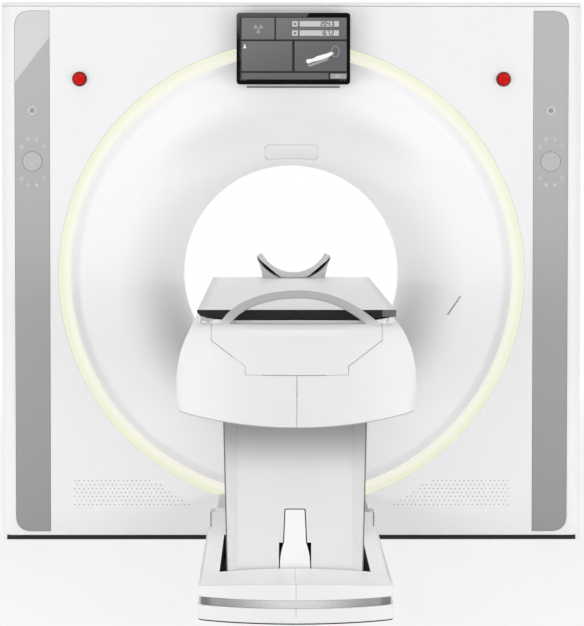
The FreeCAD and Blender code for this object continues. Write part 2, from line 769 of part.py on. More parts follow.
# ---- gantry frame and drive ----
def gantry_floor_frame():
    """The plinth plate, with the beams that carry the stator and stiffen the front."""
    half_x = SIDE_X - PLINTH_INSET
    half_y = BACK_Y - PLINTH_INSET
    beam_x = half_x - BEAM_END_INSET
    front_y = -half_y + BEAM_END_INSET
    plate = box(-half_x, half_x, -half_y, half_y, 0, PLINTH_HEIGHT)
    rear_beam = box(-beam_x, beam_x, BEAM_FRONT_Y, BEAM_BACK_Y, PLINTH_HEIGHT, BEAM_TOP)
    front_beam = box(-beam_x, beam_x, front_y, front_y + FRONT_BEAM_DEPTH, PLINTH_HEIGHT, FRONT_BEAM_TOP)
    frame = plate.fuse([rear_beam, front_beam])
    for x in (-GANTRY_ANCHOR_X, GANTRY_ANCHOR_X):
        for y in (-GANTRY_ANCHOR_Y, GANTRY_ANCHOR_Y):
            frame = frame.cut(rod_z(ANCHOR_HOLE_R, -1, BEAM_TOP + 1, x, y))
    return frame


def stator_frame():
    """The fixed plate that stands on the floor frame and holds the rotor in its bore."""
    half = STATOR_HALF_WIDTH
    corner = STATOR_CORNER
    outline = (
        (-half, BEAM_TOP),
        (half, BEAM_TOP),
        (half, STATOR_TOP - corner),
        (half - corner, STATOR_TOP),
        (-half + corner, STATOR_TOP),
        (-half, STATOR_TOP - corner),
    )
    plate = prism_y(outline, STATOR_FRONT_Y, STATOR_BACK_Y)
    plate = plate.cut(rod_y(STATOR_BORE_R, STATOR_FRONT_Y - 1, STATOR_BACK_Y + 1))
    near, far = STATOR_WINDOW_EDGE
    window = box(
        half - far,
        half - near,
        STATOR_FRONT_Y - 1,
        STATOR_BACK_Y + 1,
        ISO_HEIGHT - STATOR_WINDOW_HALF_HEIGHT,
        ISO_HEIGHT + STATOR_WINDOW_HALF_HEIGHT,
    )
    return plate.cut(window).cut(mirrored(window))


def brush_block():
    """The brush holder behind the stator, reaching in to the slip ring."""
    top = ISO_HEIGHT + BRUSH_OUTER_R
    track = JOURNAL_R + BRUSH_GAP
    arm = box(-45, 45, STATOR_BACK_Y + 8, JOURNAL_BACK_Y - 4, ISO_HEIGHT + track - 10, top)
    foot = box(-60, 60, STATOR_BACK_Y, STATOR_BACK_Y + 20, ISO_HEIGHT + track + 25, top)
    block = arm.fuse(foot)
    clear = rod_y(track, STATOR_BACK_Y - 1, JOURNAL_BACK_Y)
    return spun(block.cut(clear), BRUSH_ANGLE)


# ---- rotor ----
def rotor_drum():
    """The turning drum: a many-sided plate on a hollow journal that carries the slip ring's tracks."""
    plate_back = DRUM_FRONT_Y + DRUM_THICK
    plate = many_sided(((DRUM_FRONT_Y, DRUM_R), (plate_back, DRUM_R)), DRUM_SIDES, 0.0, ISO_HEIGHT)
    drum = plate.fuse(rod_y(JOURNAL_R, DRUM_FRONT_Y + 1, JOURNAL_BACK_Y))
    return drum.cut(rod_y(DRUM_BORE_R, DRUM_FRONT_Y - 1, JOURNAL_BACK_Y + 1))


def xray_tube():
    """The tube housing at the top of the rotor, lying along the bore, with its beam port."""
    z = ISO_HEIGHT + TUBE_CENTRE_R
    end = TUBE_FRONT_Y - TUBE_END_LENGTH
    barrel = ((TUBE_FRONT_Y, TUBE_RADIUS), (DRUM_FRONT_Y, TUBE_RADIUS))
    nose = ((end, TUBE_END_R), (TUBE_FRONT_Y + 1, TUBE_END_R))
    housing = many_sided(barrel, TUBE_SIDES, 0.0, z)
    cap = many_sided(nose, TUBE_SIDES, 0.0, z)
    port = box(-40, 40, -40, 40, z - TUBE_RADIUS - 8, z)
    return housing.fuse(cap).fuse(port)


def collimator():
    top = ISO_HEIGHT + TUBE_CENTRE_R - TUBE_RADIUS - 8
    bottom = ISO_HEIGHT + COLLIMATOR_LOW_R
    half = COLLIMATOR_WIDTH / 2
    body = box(-half, half, -50, DRUM_FRONT_Y, bottom, top)
    fan = prism_y(((-30, top + 1), (30, top + 1), (62, bottom - 1), (-62, bottom - 1)), -8, 8)
    return body.cut(fan)


def detector_arc():
    """The detector at the bottom of the rotor, curved about the tube's focus."""
    focus = ISO_HEIGHT + TUBE_CENTRE_R
    outer = FOCUS_TO_DETECTOR + DETECTOR_THICK
    band = ring_y(FOCUS_TO_DETECTOR, outer, DETECTOR_FRONT_Y, DRUM_FRONT_Y, 0.0, focus)
    reach = math.tan(math.radians(DETECTOR_HALF_ANGLE)) * 2 * outer
    below = focus - 2 * outer
    fan = ((0.0, focus), (reach, below), (-reach, below))
    return band.common(prism_y(fan, DETECTOR_FRONT_Y - 1, DRUM_FRONT_Y + 1))


def hv_generator():
    body = box(
        -GENERATOR_OUTER_X,
        -GENERATOR_INNER_X,
        GENERATOR_FRONT_Y,
        DRUM_FRONT_Y,
        ISO_HEIGHT - GENERATOR_HALF_HEIGHT,
        ISO_HEIGHT + GENERATOR_HALF_HEIGHT,
    )
    return body.makeChamfer(20, edges_along(body, Y_AXIS))


def cooling_unit():
    """The oil cooler opposite the generator, with fins on its outer face."""
    low = ISO_HEIGHT - COOLER_HALF_HEIGHT
    high = ISO_HEIGHT + COOLER_HALF_HEIGHT
    root = COOLER_OUTER_X - COOLER_FIN_DEPTH
    body = box(GENERATOR_INNER_X, root, COOLER_FRONT_Y, DRUM_FRONT_Y, low, high)
    pitch = (high - low - COOLER_FIN_THICK) / (COOLER_FINS - 1)
    for index in range(COOLER_FINS):
        z = low + index * pitch
        fin = box(root - 1, COOLER_OUTER_X, COOLER_FRONT_Y, DRUM_FRONT_Y, z, z + COOLER_FIN_THICK)
        body = body.fuse(fin)
    return body


def balance_weights():
    width, height, depth = WEIGHT_SIZE
    block = box(
        -width / 2,
        width / 2,
        DRUM_FRONT_Y - depth,
        DRUM_FRONT_Y,
        ISO_HEIGHT + WEIGHT_RADIUS - height / 2,
        ISO_HEIGHT + WEIGHT_RADIUS + height / 2,
    )
    return Part.makeCompound([spun(block, WEIGHT_ANGLE), spun(block, -WEIGHT_ANGLE)])


# ---- table base ----
def front_outline(half, front_y, rear_y, front_r, corner_r, z):
    """A plan outline: straight sides and rear, and a bowed front with rounded corners."""
    centre_y = front_y + front_r
    corner_x = half - corner_r
    swing = math.asin(corner_x / (front_r - corner_r))
    corner_y = centre_y - (front_r - corner_r) * math.cos(swing)
    meet = FreeCAD.Vector(front_r * math.sin(swing), centre_y - front_r * math.cos(swing), z)
    turn = (math.pi / 2 + swing) / 2
    bend = FreeCAD.Vector(corner_x + corner_r * math.sin(turn), corner_y - corner_r * math.cos(turn), z)
    side = FreeCAD.Vector(half, corner_y, z)
    rear = FreeCAD.Vector(half, rear_y, z)

    def left(point):
        return FreeCAD.Vector(-point.x, point.y, point.z)

    return Part.Wire(
        [
            line(left(rear), left(side)),
            arc(left(side), left(bend), left(meet)),
            arc(left(meet), FreeCAD.Vector(0, front_y, z), meet),
            arc(meet, bend, side),
            line(side, rear),
            line(rear, left(rear)),
        ]
    )


def base_body(inset, z0, z1):
    outline = front_outline(
        BASE_HALF_WIDTH - inset,
        BASE_FRONT_Y + inset,
        BASE_REAR_Y - inset,
        BASE_FRONT_R - inset,
        BASE_CORNER_R - inset,
        z0,
    )
    return Part.Face(outline).extrude(FreeCAD.Vector(0, 0, z1 - z0))


def crowned(shape, top):
    """Trim a shape under a shallow crown whose ridge runs along Y at the given height."""
    crown = rod_y(BASE_CROWN_R, BASE_FRONT_Y - 10, BASE_REAR_Y + 10, 0.0, top - BASE_CROWN_R)
    return shape.common(crown)


def base_cover():
    """The base cover's two halves, with a groove for the trim strip and a well for the column."""
    shell = crowned(base_body(0.0, 0.0, BASE_TOP), BASE_TOP)
    shell = shell.cut(crowned(base_body(BASE_WALL, -1.0, BASE_TOP), BASE_TOP - BASE_DECK))
    groove = base_body(-1.0, TRIM_BOTTOM, TRIM_TOP).cut(base_body(TRIM_DEPTH, TRIM_BOTTOM, TRIM_TOP))
    reach = BASE_HALF_WIDTH + 5
    rear_guard = box(-reach, reach, BASE_REAR_Y - BASE_WALL, BASE_REAR_Y + 2, 0, BASE_TOP)
    shell = shell.cut(groove.cut(rear_guard))
    half = WELL_HALF_WIDTH
    well = box(-half, half, WELL_FRONT_Y, WELL_REAR_Y, BASE_TOP / 2, BASE_TOP + 1)
    shell = shell.cut(well)
    right = box(SEAM / 2, reach, BASE_FRONT_Y - 5, BASE_REAR_Y + 5, -1, BASE_TOP + 1)
    return shell.common(mirrored(right)), shell.common(right)


def base_trim():
    strip = base_body(TRIM_DEPTH - TRIM_THICK, TRIM_BOTTOM, TRIM_TOP)
    strip = strip.cut(base_body(TRIM_DEPTH, TRIM_BOTTOM, TRIM_TOP))
    rear = BASE_REAR_Y - BASE_WALL
    return strip.cut(box(-BASE_HALF_WIDTH, BASE_HALF_WIDTH, rear - 2, BASE_REAR_Y + 2, 0, BASE_TOP))


def table_floor_frame():
    """The steel floor plate under the base cover, with its anchor holes."""
    half = FLOOR_FRAME_HALF
    frame = box(-half, half, FLOOR_FRAME_FRONT_Y, FLOOR_FRAME_REAR_Y, 0, FLOOR_FRAME_THICK)
    for x in (-TABLE_ANCHOR_X, TABLE_ANCHOR_X):
        for y in (TABLE_ANCHOR_FRONT_Y, TABLE_ANCHOR_REAR_Y):
            frame = frame.cut(rod_z(ANCHOR_HOLE_R, -1, FLOOR_FRAME_THICK + 1, x, y))
    return frame


def notch_opening(bottom, y0, y1):
    """Cutter for the stepped notch at the foot of the column's front panel."""
    outline = (
        (-NOTCH_HALF_BOTTOM, bottom),
        (-NOTCH_HALF_BOTTOM, NOTCH_STEP_Z),
        (-NOTCH_HALF_STEP, NOTCH_STEP_Z),
        (-NOTCH_HALF_TOP, NOTCH_TOP),
        (NOTCH_HALF_TOP, NOTCH_TOP),
        (NOTCH_HALF_STEP, NOTCH_STEP_Z),
        (NOTCH_HALF_BOTTOM, NOTCH_STEP_Z),
        (NOTCH_HALF_BOTTOM, bottom),
    )
    return rounded_top(prism_y(outline, y0, y1), NOTCH_TOP, NOTCH_CORNER_R)


def rounded_top(prism, top, radius):
    corners = [e for e in edges_along(prism, Y_AXIS) if e.CenterOfMass.z > top - 1]
    return prism.makeFillet(radius, corners)


def column_front_panel():
    """The column's front: a slightly tapered tray, recessed between two bands and notched below."""
    bottom = FLOOR_FRAME_THICK
    outline = (
        (-COLUMN_HALF_BOTTOM, bottom),
        (COLUMN_HALF_BOTTOM, bottom),
        (COLUMN_HALF_TOP, COLUMN_TOP),
        (-COLUMN_HALF_TOP, COLUMN_TOP),
    )
    hollow = (
        (-COLUMN_HALF_BOTTOM + COLUMN_WALL, bottom - 1),
        (COLUMN_HALF_BOTTOM - COLUMN_WALL, bottom - 1),
        (COLUMN_HALF_TOP - COLUMN_WALL, COLUMN_TOP + 1),
        (-COLUMN_HALF_TOP + COLUMN_WALL, COLUMN_TOP + 1),
    )
    skin = COLUMN_FRONT_Y + COLUMN_WALL + COLUMN_RECESS
    panel = prism_y(outline, COLUMN_FRONT_Y, COLUMN_FRONT_Y + COLUMN_FLANGE)
    panel = panel.cut(prism_y(hollow, skin, COLUMN_FRONT_Y + COLUMN_FLANGE + 1))
    inner = COLUMN_HALF_BOTTOM - COLUMN_BAND
    slope = 3 * COLUMN_RECESS
    recess = Part.makePolygon(
        [
            FreeCAD.Vector(-inner - slope, COLUMN_FRONT_Y - 1, bottom - 1),
            FreeCAD.Vector(inner + slope, COLUMN_FRONT_Y - 1, bottom - 1),
            FreeCAD.Vector(inner, COLUMN_FRONT_Y + COLUMN_RECESS, bottom - 1),
            FreeCAD.Vector(-inner, COLUMN_FRONT_Y + COLUMN_RECESS, bottom - 1),
            FreeCAD.Vector(-inner - slope, COLUMN_FRONT_Y - 1, bottom - 1),
        ]
    )
    panel = panel.cut(Part.Face(recess).extrude(FreeCAD.Vector(0, 0, COLUMN_TOP)))
    return panel.cut(notch_opening(bottom - 1, COLUMN_FRONT_Y - 2, skin + 1))


def notch_post():
    """The post that stands on the base and fills the notch, flaring out in an arc below its step."""
    front = COLUMN_FRONT_Y + COLUMN_RECESS + POST_SET_BACK
    top = NOTCH_TOP - POST_GAP
    half_top = NOTCH_HALF_TOP - POST_GAP
    half_step = NOTCH_HALF_STEP - POST_GAP
    half_foot = NOTCH_HALF_BOTTOM - POST_GAP
    foot_z = NOTCH_STEP_Z - NOTCH_FLARE_HEIGHT
    swell = (half_step + 0.6 * (half_foot - half_step), NOTCH_STEP_Z - 0.32 * NOTCH_FLARE_HEIGHT)

    def at(x, z):
        return FreeCAD.Vector(x, front, z)

    right = [
        line(at(half_top, top), at(half_step, NOTCH_STEP_Z)),
        arc(at(half_step, NOTCH_STEP_Z), at(*swell), at(half_foot, foot_z)),
        line(at(half_foot, foot_z), at(half_foot, FLOOR_FRAME_THICK)),
    ]
    left = [
        line(at(-half_foot, FLOOR_FRAME_THICK), at(-half_foot, foot_z)),
        arc(at(-half_foot, foot_z), at(-swell[0], swell[1]), at(-half_step, NOTCH_STEP_Z)),
        line(at(-half_step, NOTCH_STEP_Z), at(-half_top, top)),
    ]
    foot = line(at(half_foot, FLOOR_FRAME_THICK), at(-half_foot, FLOOR_FRAME_THICK))
    head = line(at(-half_top, top), at(half_top, top))
    outline = Part.Wire(right + [foot] + left + [head])
    post = Part.Face(outline).extrude(FreeCAD.Vector(0, POST_DEPTH, 0))
    return rounded_top(post, top, NOTCH_CORNER_R)


def column_rear_cover():
    """The column's sides and rear, open to the front panel."""
    front = COLUMN_FRONT_Y + COLUMN_FLANGE
    bottom = FLOOR_FRAME_THICK
    half = COLUMN_BODY_HALF
    inner = half - COLUMN_WALL
    rear = COLUMN_REAR_Y - COLUMN_WALL
    tube = box(-half, half, front, COLUMN_REAR_Y, bottom, COLUMN_TOP)
    return tube.cut(box(-inner, inner, front - 1, rear, bottom - 1, COLUMN_TOP + 1))


# ---- lift ----
def square_tube(half, wall, z0, z1):
    tube = box(-half, half, LIFT_CENTRE_Y - half, LIFT_CENTRE_Y + half, z0, z1)
    inner = half - wall
    return tube.cut(box(-inner, inner, LIFT_CENTRE_Y - inner, LIFT_CENTRE_Y + inner, z0 - 1, z1 + 1))


def lift_inner_tube():
    half = OUTER_TUBE_HALF - OUTER_TUBE_WALL - TUBE_CLEARANCE
    return square_tube(half, INNER_TUBE_WALL, INNER_TUBE_BOTTOM, LIFT_PLATE_BOTTOM)


def lift_actuator():
    half = ACTUATOR_HALF
    y = LIFT_CENTRE_Y
    body = box(-half, half, y - half, y + half, FLOOR_FRAME_THICK, ACTUATOR_TOP)
    low = ROD_BOTTOM - LIFT_TRAVEL - 10
    high = ACTUATOR_TOP + 1
    bore = upright_many_sided(ROD_R + ROD_FIT, ROD_SIDES, low, high, 0.0, LIFT_CENTRE_Y)
    return body.cut(bore)


def lift_rod():
    return upright_many_sided(ROD_R, ROD_SIDES, ROD_BOTTOM, LIFT_PLATE_BOTTOM, 0.0, LIFT_CENTRE_Y)


# ---- table upper part ----
def side_channel():
    """The right-hand frame channel, open towards the middle."""
    outer = box(RAIL_INNER_X, RAIL_OUTER_X, FRAME_FRONT_Y, FRAME_REAR_Y, RAIL_BOTTOM, RAIL_TOP)
    hollow = box(
        RAIL_INNER_X - 1,
        RAIL_OUTER_X - RAIL_WALL,
        FRAME_FRONT_Y - 1,
        FRAME_REAR_Y + 1,
        RAIL_BOTTOM + RAIL_WALL,
        RAIL_TOP - RAIL_WALL,
    )
    return outer.cut(hollow)


def upper_frame(shroud_inside):
    """Two side channels, the lift plate, two cross members, and the brackets that carry the shroud."""
    channel = side_channel()
    lift_plate = box(
        -RAIL_INNER_X - 5,
        RAIL_INNER_X + 5,
        LIFT_CENTRE_Y - LIFT_PLATE_HALF_LENGTH,
        LIFT_CENTRE_Y + LIFT_PLATE_HALF_LENGTH,
        LIFT_PLATE_BOTTOM,
        RAIL_TOP,
    )
    front = box(-RAIL_INNER_X, RAIL_INNER_X, FRAME_FRONT_Y, FRAME_FRONT_Y + 30, RAIL_BOTTOM, RAIL_TOP)
    rear = box(-RAIL_INNER_X, RAIL_INNER_X, FRAME_REAR_Y - 30, FRAME_REAR_Y, RAIL_BOTTOM, RAIL_TOP)
    plate_low = RAIL_TOP - FRAME_PLATE
    reach = RAIL_INNER_X + 5
    x = SLIDE_PULLEY_X
    motor_plate = box(x - 60, reach, SLIDE_PULLEY_Y - 60, SLIDE_PULLEY_Y + 60, plate_low, RAIL_TOP)
    idler_arm = box(x - 30, reach, IDLER_Y - 30, IDLER_Y + 30, plate_low, RAIL_TOP)
    rim = (SLIDE_PULLEY_R, SLIDE_PULLEY_SIDES)
    idler = upright_many_sided(*rim, plate_low, SLIDE_BELT_TOP, x, IDLER_Y)
    frame = channel.fuse([mirrored(channel), lift_plate, front, rear, motor_plate, idler_arm, idler])
    frame = frame.fuse([roller_ear(-1), roller_ear(1)] + shroud_brackets(shroud_inside))
    return frame.cut(rod_z(SLIDE_SHAFT_R + SHAFT_FIT, plate_low - 1, RAIL_TOP + 1, x, SLIDE_PULLEY_Y))


def shroud_brackets(shroud_inside):
    """Tabs from the frame out to the shroud's inner wall, cut to meet it."""
    top = BRACKET_LEVEL + BRACKET_THICK
    tabs = []
    for y in BRACKETS_Y:
        tab = box(RAIL_OUTER_X - 1, SHROUD_LEVELS[2][1], y, y + BRACKET_LENGTH, BRACKET_LEVEL, top)
        tabs += [tab, mirrored(tab)]
    nose = SHROUD_LEVELS[3][2]
    tabs.append(box(-NOSE_TAB_HALF, NOSE_TAB_HALF, nose, FRAME_FRONT_Y + 1, BRACKET_LEVEL, top))
    return [tab.common(shroud_inside) for tab in tabs]


def roller_ear(side):
    """A bored ear on the rear cross member that carries one end of the support roller."""
    ends = (side * (ROLLER_HALF_LENGTH + 2), side * (RAIL_INNER_X + 2))
    centre_z = roller_centre_z()
    ear = box(min(ends), max(ends), ROLLER_Y - 9, ROLLER_Y + 9, RAIL_TOP - 5, centre_z + 9)
    bore_r = ROLLER_SHAFT_R + SHAFT_FIT
    return ear.cut(rod_x(bore_r, min(ends) - 1, max(ends) + 1, ROLLER_Y, centre_z))


def roller_centre_z():
    return TABLE_UNDER - ROLLER_GAP - ROLLER_R


def support_roller():
    """A long roller, built of flats, lying across the table under the tabletop."""
    z = roller_centre_z()
    half = ROLLER_HALF_LENGTH
    ends = ((-RAIL_INNER_X, ROLLER_SHAFT_R), (RAIL_INNER_X, ROLLER_SHAFT_R))
    roller = many_sided(((-half, ROLLER_R), (half, ROLLER_R)), ROLLER_SIDES, 0.0, 0.0)
    roller = roller.fuse(many_sided(ends, ROLLER_SIDES, 0.0, 0.0))
    roller.rotate(FreeCAD.Vector(0, 0, 0), Z_AXIS, -90)
    roller.translate(FreeCAD.Vector(0, ROLLER_Y, z))
    return roller


def guide_rails():
    half = GUIDE_WIDTH / 2
    front = FRAME_FRONT_Y - GUIDE_OVERHANG
    top = RAIL_TOP + GUIDE_HEIGHT
    return both_sides(box(GUIDE_X - half, GUIDE_X + half, front, FRAME_REAR_Y, RAIL_TOP, top))


def slide_motor():
    """A square-bodied motor hanging under its plate, bored for the pulley's shaft."""
    half = SLIDE_MOTOR_HALF
    x, y = SLIDE_PULLEY_X, SLIDE_PULLEY_Y
    top = RAIL_TOP - FRAME_PLATE
    motor = box(x - half, x + half, y - half, y + half, top - SLIDE_MOTOR_LENGTH, top)
    bore_r = (SLIDE_SHAFT_R + SHAFT_FIT) / math.cos(math.pi / STEM_SIDES)
    return motor.cut(upright_many_sided(bore_r, STEM_SIDES, RAIL_TOP - 30, RAIL_TOP, x, y))


def slide_pulley():
    x, y = SLIDE_PULLEY_X, SLIDE_PULLEY_Y
    low = SLIDE_BELT_BOTTOM - 2
    high = SLIDE_BELT_TOP + 1
    shaft = upright_many_sided(SLIDE_SHAFT_R, STEM_SIDES, RAIL_TOP - 28, low + 1, x, y)
    return shaft.fuse(upright_many_sided(SLIDE_PULLEY_R, SLIDE_PULLEY_SIDES, low, high, x, y))


def slide_belt_loop(radius):
    z0, z1 = SLIDE_BELT_BOTTOM, SLIDE_BELT_TOP
    x = SLIDE_PULLEY_X
    loop = box(x - radius, x + radius, SLIDE_PULLEY_Y, IDLER_Y, z0, z1)
    loop = loop.fuse(rod_z(radius, z0, z1, x, SLIDE_PULLEY_Y))
    return loop.fuse(rod_z(radius, z0, z1, x, IDLER_Y))


def slide_belt():
    inner = SLIDE_PULLEY_R + BELT_GAP
    return slide_belt_loop(inner + SLIDE_BELT_THICK).cut(slide_belt_loop(inner))


# ---- tabletop ----
def tabletop():
    half = TABLETOP_HALF_WIDTH
    top = box(-half, half, TABLETOP_NEAR_Y, TABLETOP_FAR_Y, TABLE_UNDER, TABLE_TOP)
    lower = [e for e in edges_along(top, Y_AXIS) if e.CenterOfMass.z < TABLE_UNDER + 1]
    return top.makeFillet(TABLETOP_CORNER_R, lower)


def carriage():
    """The plate under the foot of the tabletop, with four blocks that straddle the guide rails."""
    plate = box(
        -CARRIAGE_HALF_WIDTH + 14,
        CARRIAGE_HALF_WIDTH - 14,
        CARRIAGE_FRONT_Y,
        CARRIAGE_REAR_Y,
        TABLE_UNDER - CARRIAGE_PLATE,
        TABLE_UNDER,
    )
    groove_half = GUIDE_WIDTH / 2 + GUIDE_FIT
    groove_top = RAIL_TOP + GUIDE_HEIGHT + GUIDE_FIT
    for side in (-1, 1):
        for y in (CARRIAGE_FRONT_Y, CARRIAGE_REAR_Y - BLOCK_LENGTH):
            x = side * GUIDE_X
            low, high = x - BLOCK_HALF_WIDTH, x + BLOCK_HALF_WIDTH
            end = y + BLOCK_LENGTH
            block = box(low, high, y, end, RAIL_TOP + 1, TABLE_UNDER)
            groove = box(x - groove_half, x + groove_half, y - 1, end + 1, RAIL_TOP, groove_top)
            plate = plate.fuse(block.cut(groove))
    clamp_x = SLIDE_PULLEY_X + SLIDE_PULLEY_R + BELT_GAP + SLIDE_BELT_THICK + BELT_GAP
    rear = CARRIAGE_REAR_Y
    return plate.fuse(box(clamp_x, clamp_x + 12, rear - 60, rear, SLIDE_BELT_BOTTOM, TABLE_UNDER))


# ---- head rest ----
def rest_centre_z():
    return TABLE_TOP + REST_SHELL_THICK + REST_PAD_GAP + REST_PAD_THICK + REST_INNER_R


def rest_band(inner, outer, length):
    """A curved band of the head rest's trough between two radii, built of flats."""
    x, z = REST_CENTRE_X, rest_centre_z()
    swing = math.radians(REST_HALF_ANGLE)
    turns = [swing * (2 * step / REST_FLATS - 1) for step in range(REST_FLATS + 1)]
    outline = [(x + inner * math.sin(a), z - inner * math.cos(a)) for a in turns]
    outline += [(x + outer * math.sin(a), z - outer * math.cos(a)) for a in reversed(turns)]
    return prism_y(outline, REST_NEAR_Y, REST_NEAR_Y + length)


def head_rest_pad():
    return rest_band(REST_INNER_R, REST_INNER_R + REST_PAD_THICK, REST_LENGTH)


def head_rest_shell():
    """The trough under the pad, with a wedge-shaped foot on either side."""
    inner = REST_INNER_R + REST_PAD_THICK + REST_PAD_GAP
    shell = rest_band(inner, inner + REST_SHELL_THICK, REST_LENGTH)
    foot_end = REST_NEAR_Y + REST_FOOT_LENGTH
    hollow = rest_band(0.0, inner + 1, REST_LENGTH)
    for side in (-1, 1):
        x = REST_CENTRE_X
        foot = prism_y(
            (
                (x + side * 45, TABLE_TOP),
                (x + side * REST_FOOT_HALF, TABLE_TOP),
                (x + side * (REST_FOOT_HALF + 6), TABLE_TOP + 40),
                (x + side * (REST_FOOT_HALF + 14), TABLE_TOP + 66),
                (x + side * 60, TABLE_TOP + 40),
            ),
            REST_NEAR_Y,
            foot_end,
        )
        shell = shell.fuse(foot.cut(hollow))
    return shell


# ---- shroud ----
def shroud_outline(inset, level):
    """The shroud's plan at one height, its bowed front and rounded corners drawn with flats."""
    z, half, front = level
    outline = front_outline(
        half - inset,
        front + inset,
        SHROUD_REAR_Y - inset,
        SHROUD_NOSE_R - inset,
        SHROUD_NOSE_CORNER_R - inset,
        z,
    )
    flats = (1, SHROUD_CORNER_FLATS, SHROUD_NOSE_FLATS, SHROUD_CORNER_FLATS, 1, 1)
    points = []
    for edge, count in zip(outline.OrderedEdges, flats):
        points += edge.discretize(Number=count + 1)[:-1]
    return Part.makePolygon(points + points[:1])


def shroud_body(inset, levels):
    return Part.makeLoft([shroud_outline(inset, level) for level in levels], True, True)


def shroud_shell():
    """The whole shroud, barrel-sided with a rounded nose, open below and under the tabletop.

    Also given are the solid it was hollowed from and the space inside it.
    """
    outer = shroud_body(0.0, SHROUD_LEVELS)
    lowest, half, front = SHROUD_LEVELS[0]
    inner_levels = [(lowest - 10, half, front)] + list(SHROUD_LEVELS[1:-1])
    top, half, front = SHROUD_LEVELS[-1]
    inner_levels.append((top - SHROUD_WALL, half, front))
    inside = shroud_body(SHROUD_WALL, inner_levels)
    opening = box(
        -SHROUD_OPENING_HALF,
        SHROUD_OPENING_HALF,
        SHROUD_OPENING_FRONT_Y,
        SHROUD_REAR_Y - 10,
        SHROUD_TOP - 2 * SHROUD_WALL,
        SHROUD_TOP + 10,
    )
    nose = SHROUD_LEVELS[3][2] - 20
    rear = SHROUD_REAR_Y + 20
    reach = max(level[1] for level in SHROUD_LEVELS) + 20
    below = box(-reach, reach, nose, rear, SHROUD_RIM_CENTRE - 60, SHROUD_RIM_CENTRE + 40)
    rim = below.cut(rod_y(SHROUD_RIM_R, nose - 1, rear + 1, 0.0, RIM_AXIS_Z))
    return outer.cut(inside).cut(opening).cut(rim), outer, inside


def panel_prism(grow):
    low = PANEL_BOTTOM - grow
    points = (
        (-PANEL_HALF_BOTTOM - grow, low),
        (PANEL_HALF_BOTTOM + grow, low),
        (PANEL_HALF_BOTTOM + grow, PANEL_STEP),
        (PANEL_HALF_TOP + grow, PANEL_SHOULDER),
        (PANEL_HALF_TOP + grow, SHROUD_TOP + 20),
        (-PANEL_HALF_TOP - grow, SHROUD_TOP + 20),
        (-PANEL_HALF_TOP - grow, PANEL_SHOULDER),
        (-PANEL_HALF_BOTTOM - grow, PANEL_STEP),
    )
    front = SHROUD_LEVELS[3][2] - 10
    return prism_y(points, front, front + PANEL_DEPTH)


def shroud_parts():
    shell, solid, inside = shroud_shell()
    inset_panel = shell.common(panel_prism(0.0))
    rest = shell.cut(panel_prism(SHROUD_SEAM))
    front = SHROUD_LEVELS[3][2] - 20
    reach = max(level[1] for level in SHROUD_LEVELS) + 20
    low = SHROUD_RIM_CENTRE - 60
    right = box(SHROUD_SEAM / 2, reach, front, SHROUD_REAR_Y + 20, low, SHROUD_TOP + 20)
    return rest.common(mirrored(right)), rest.common(right), inset_panel, solid, inside


def handle(shroud_solid):
    """The arched handle over the nose: a flat bar whose legs end on the shroud's top."""
    z = HANDLE_TOP - HANDLE_OUTER_R
    y0 = HANDLE_Y - HANDLE_DEPTH / 2
    y1 = HANDLE_Y + HANDLE_DEPTH / 2
    band = ring_y(HANDLE_OUTER_R - HANDLE_THICK, HANDLE_OUTER_R, y0, y1, 0.0, z)
    swing = math.radians(HANDLE_HALF_ANGLE)
    reach = math.tan(swing) * 2 * HANDLE_OUTER_R
    above = z + 2 * HANDLE_OUTER_R
    wedge = prism_y(((0.0, z), (reach, above), (-reach, above)), y0 - 1, y1 + 1)
    bar = band.common(wedge)
    for side in (-1, 1):
        outer = (side * HANDLE_OUTER_R * math.sin(swing), z + HANDLE_OUTER_R * math.cos(swing))
        inner_r = HANDLE_OUTER_R - HANDLE_THICK
        inner = (side * inner_r * math.sin(swing), z + inner_r * math.cos(swing))
        lean = (side * HANDLE_LEG * 0.35, -HANDLE_LEG)
        foot_outer = (outer[0] + lean[0], outer[1] + lean[1])
        foot_inner = (inner[0] + lean[0], inner[1] + lean[1])
        bar = bar.fuse(prism_y((outer, foot_outer, foot_inner, inner), y0, y1))
    bar.translate(FreeCAD.Vector(HANDLE_X, 0, 0))
    return bar.cut(shroud_solid)


# ---- duct ----
def duct_cover():
    """The low cover over the cable duct that joins the table's base to the gantry."""
    y0 = BASE_REAR_Y
    y1 = FACE_Y
    body = box(-DUCT_HALF_WIDTH, DUCT_HALF_WIDTH, y0, y1, 0, DUCT_TOP)
    upper = [e for e in edges_along(body, Y_AXIS) if e.CenterOfMass.z > DUCT_TOP - 1]
    body = body.makeFillet(DUCT_CORNER_R, upper)
    step = box(-DUCT_STEP_HALF, DUCT_STEP_HALF, y0, y0 + DUCT_STEP_LENGTH, 0, DUCT_STEP_TOP)
    body = body.fuse(step)
    wall = DUCT_WALL
    inner = DUCT_HALF_WIDTH - wall
    hollow = box(-inner, inner, y0 + wall, y1 - wall, -1, DUCT_TOP - wall)
    return clear_of_ring_light(body.cut(hollow))


def finished(shape):
    """Drop the seams that joining pieces leaves on flat and round faces."""
    return shape.removeSplitter()


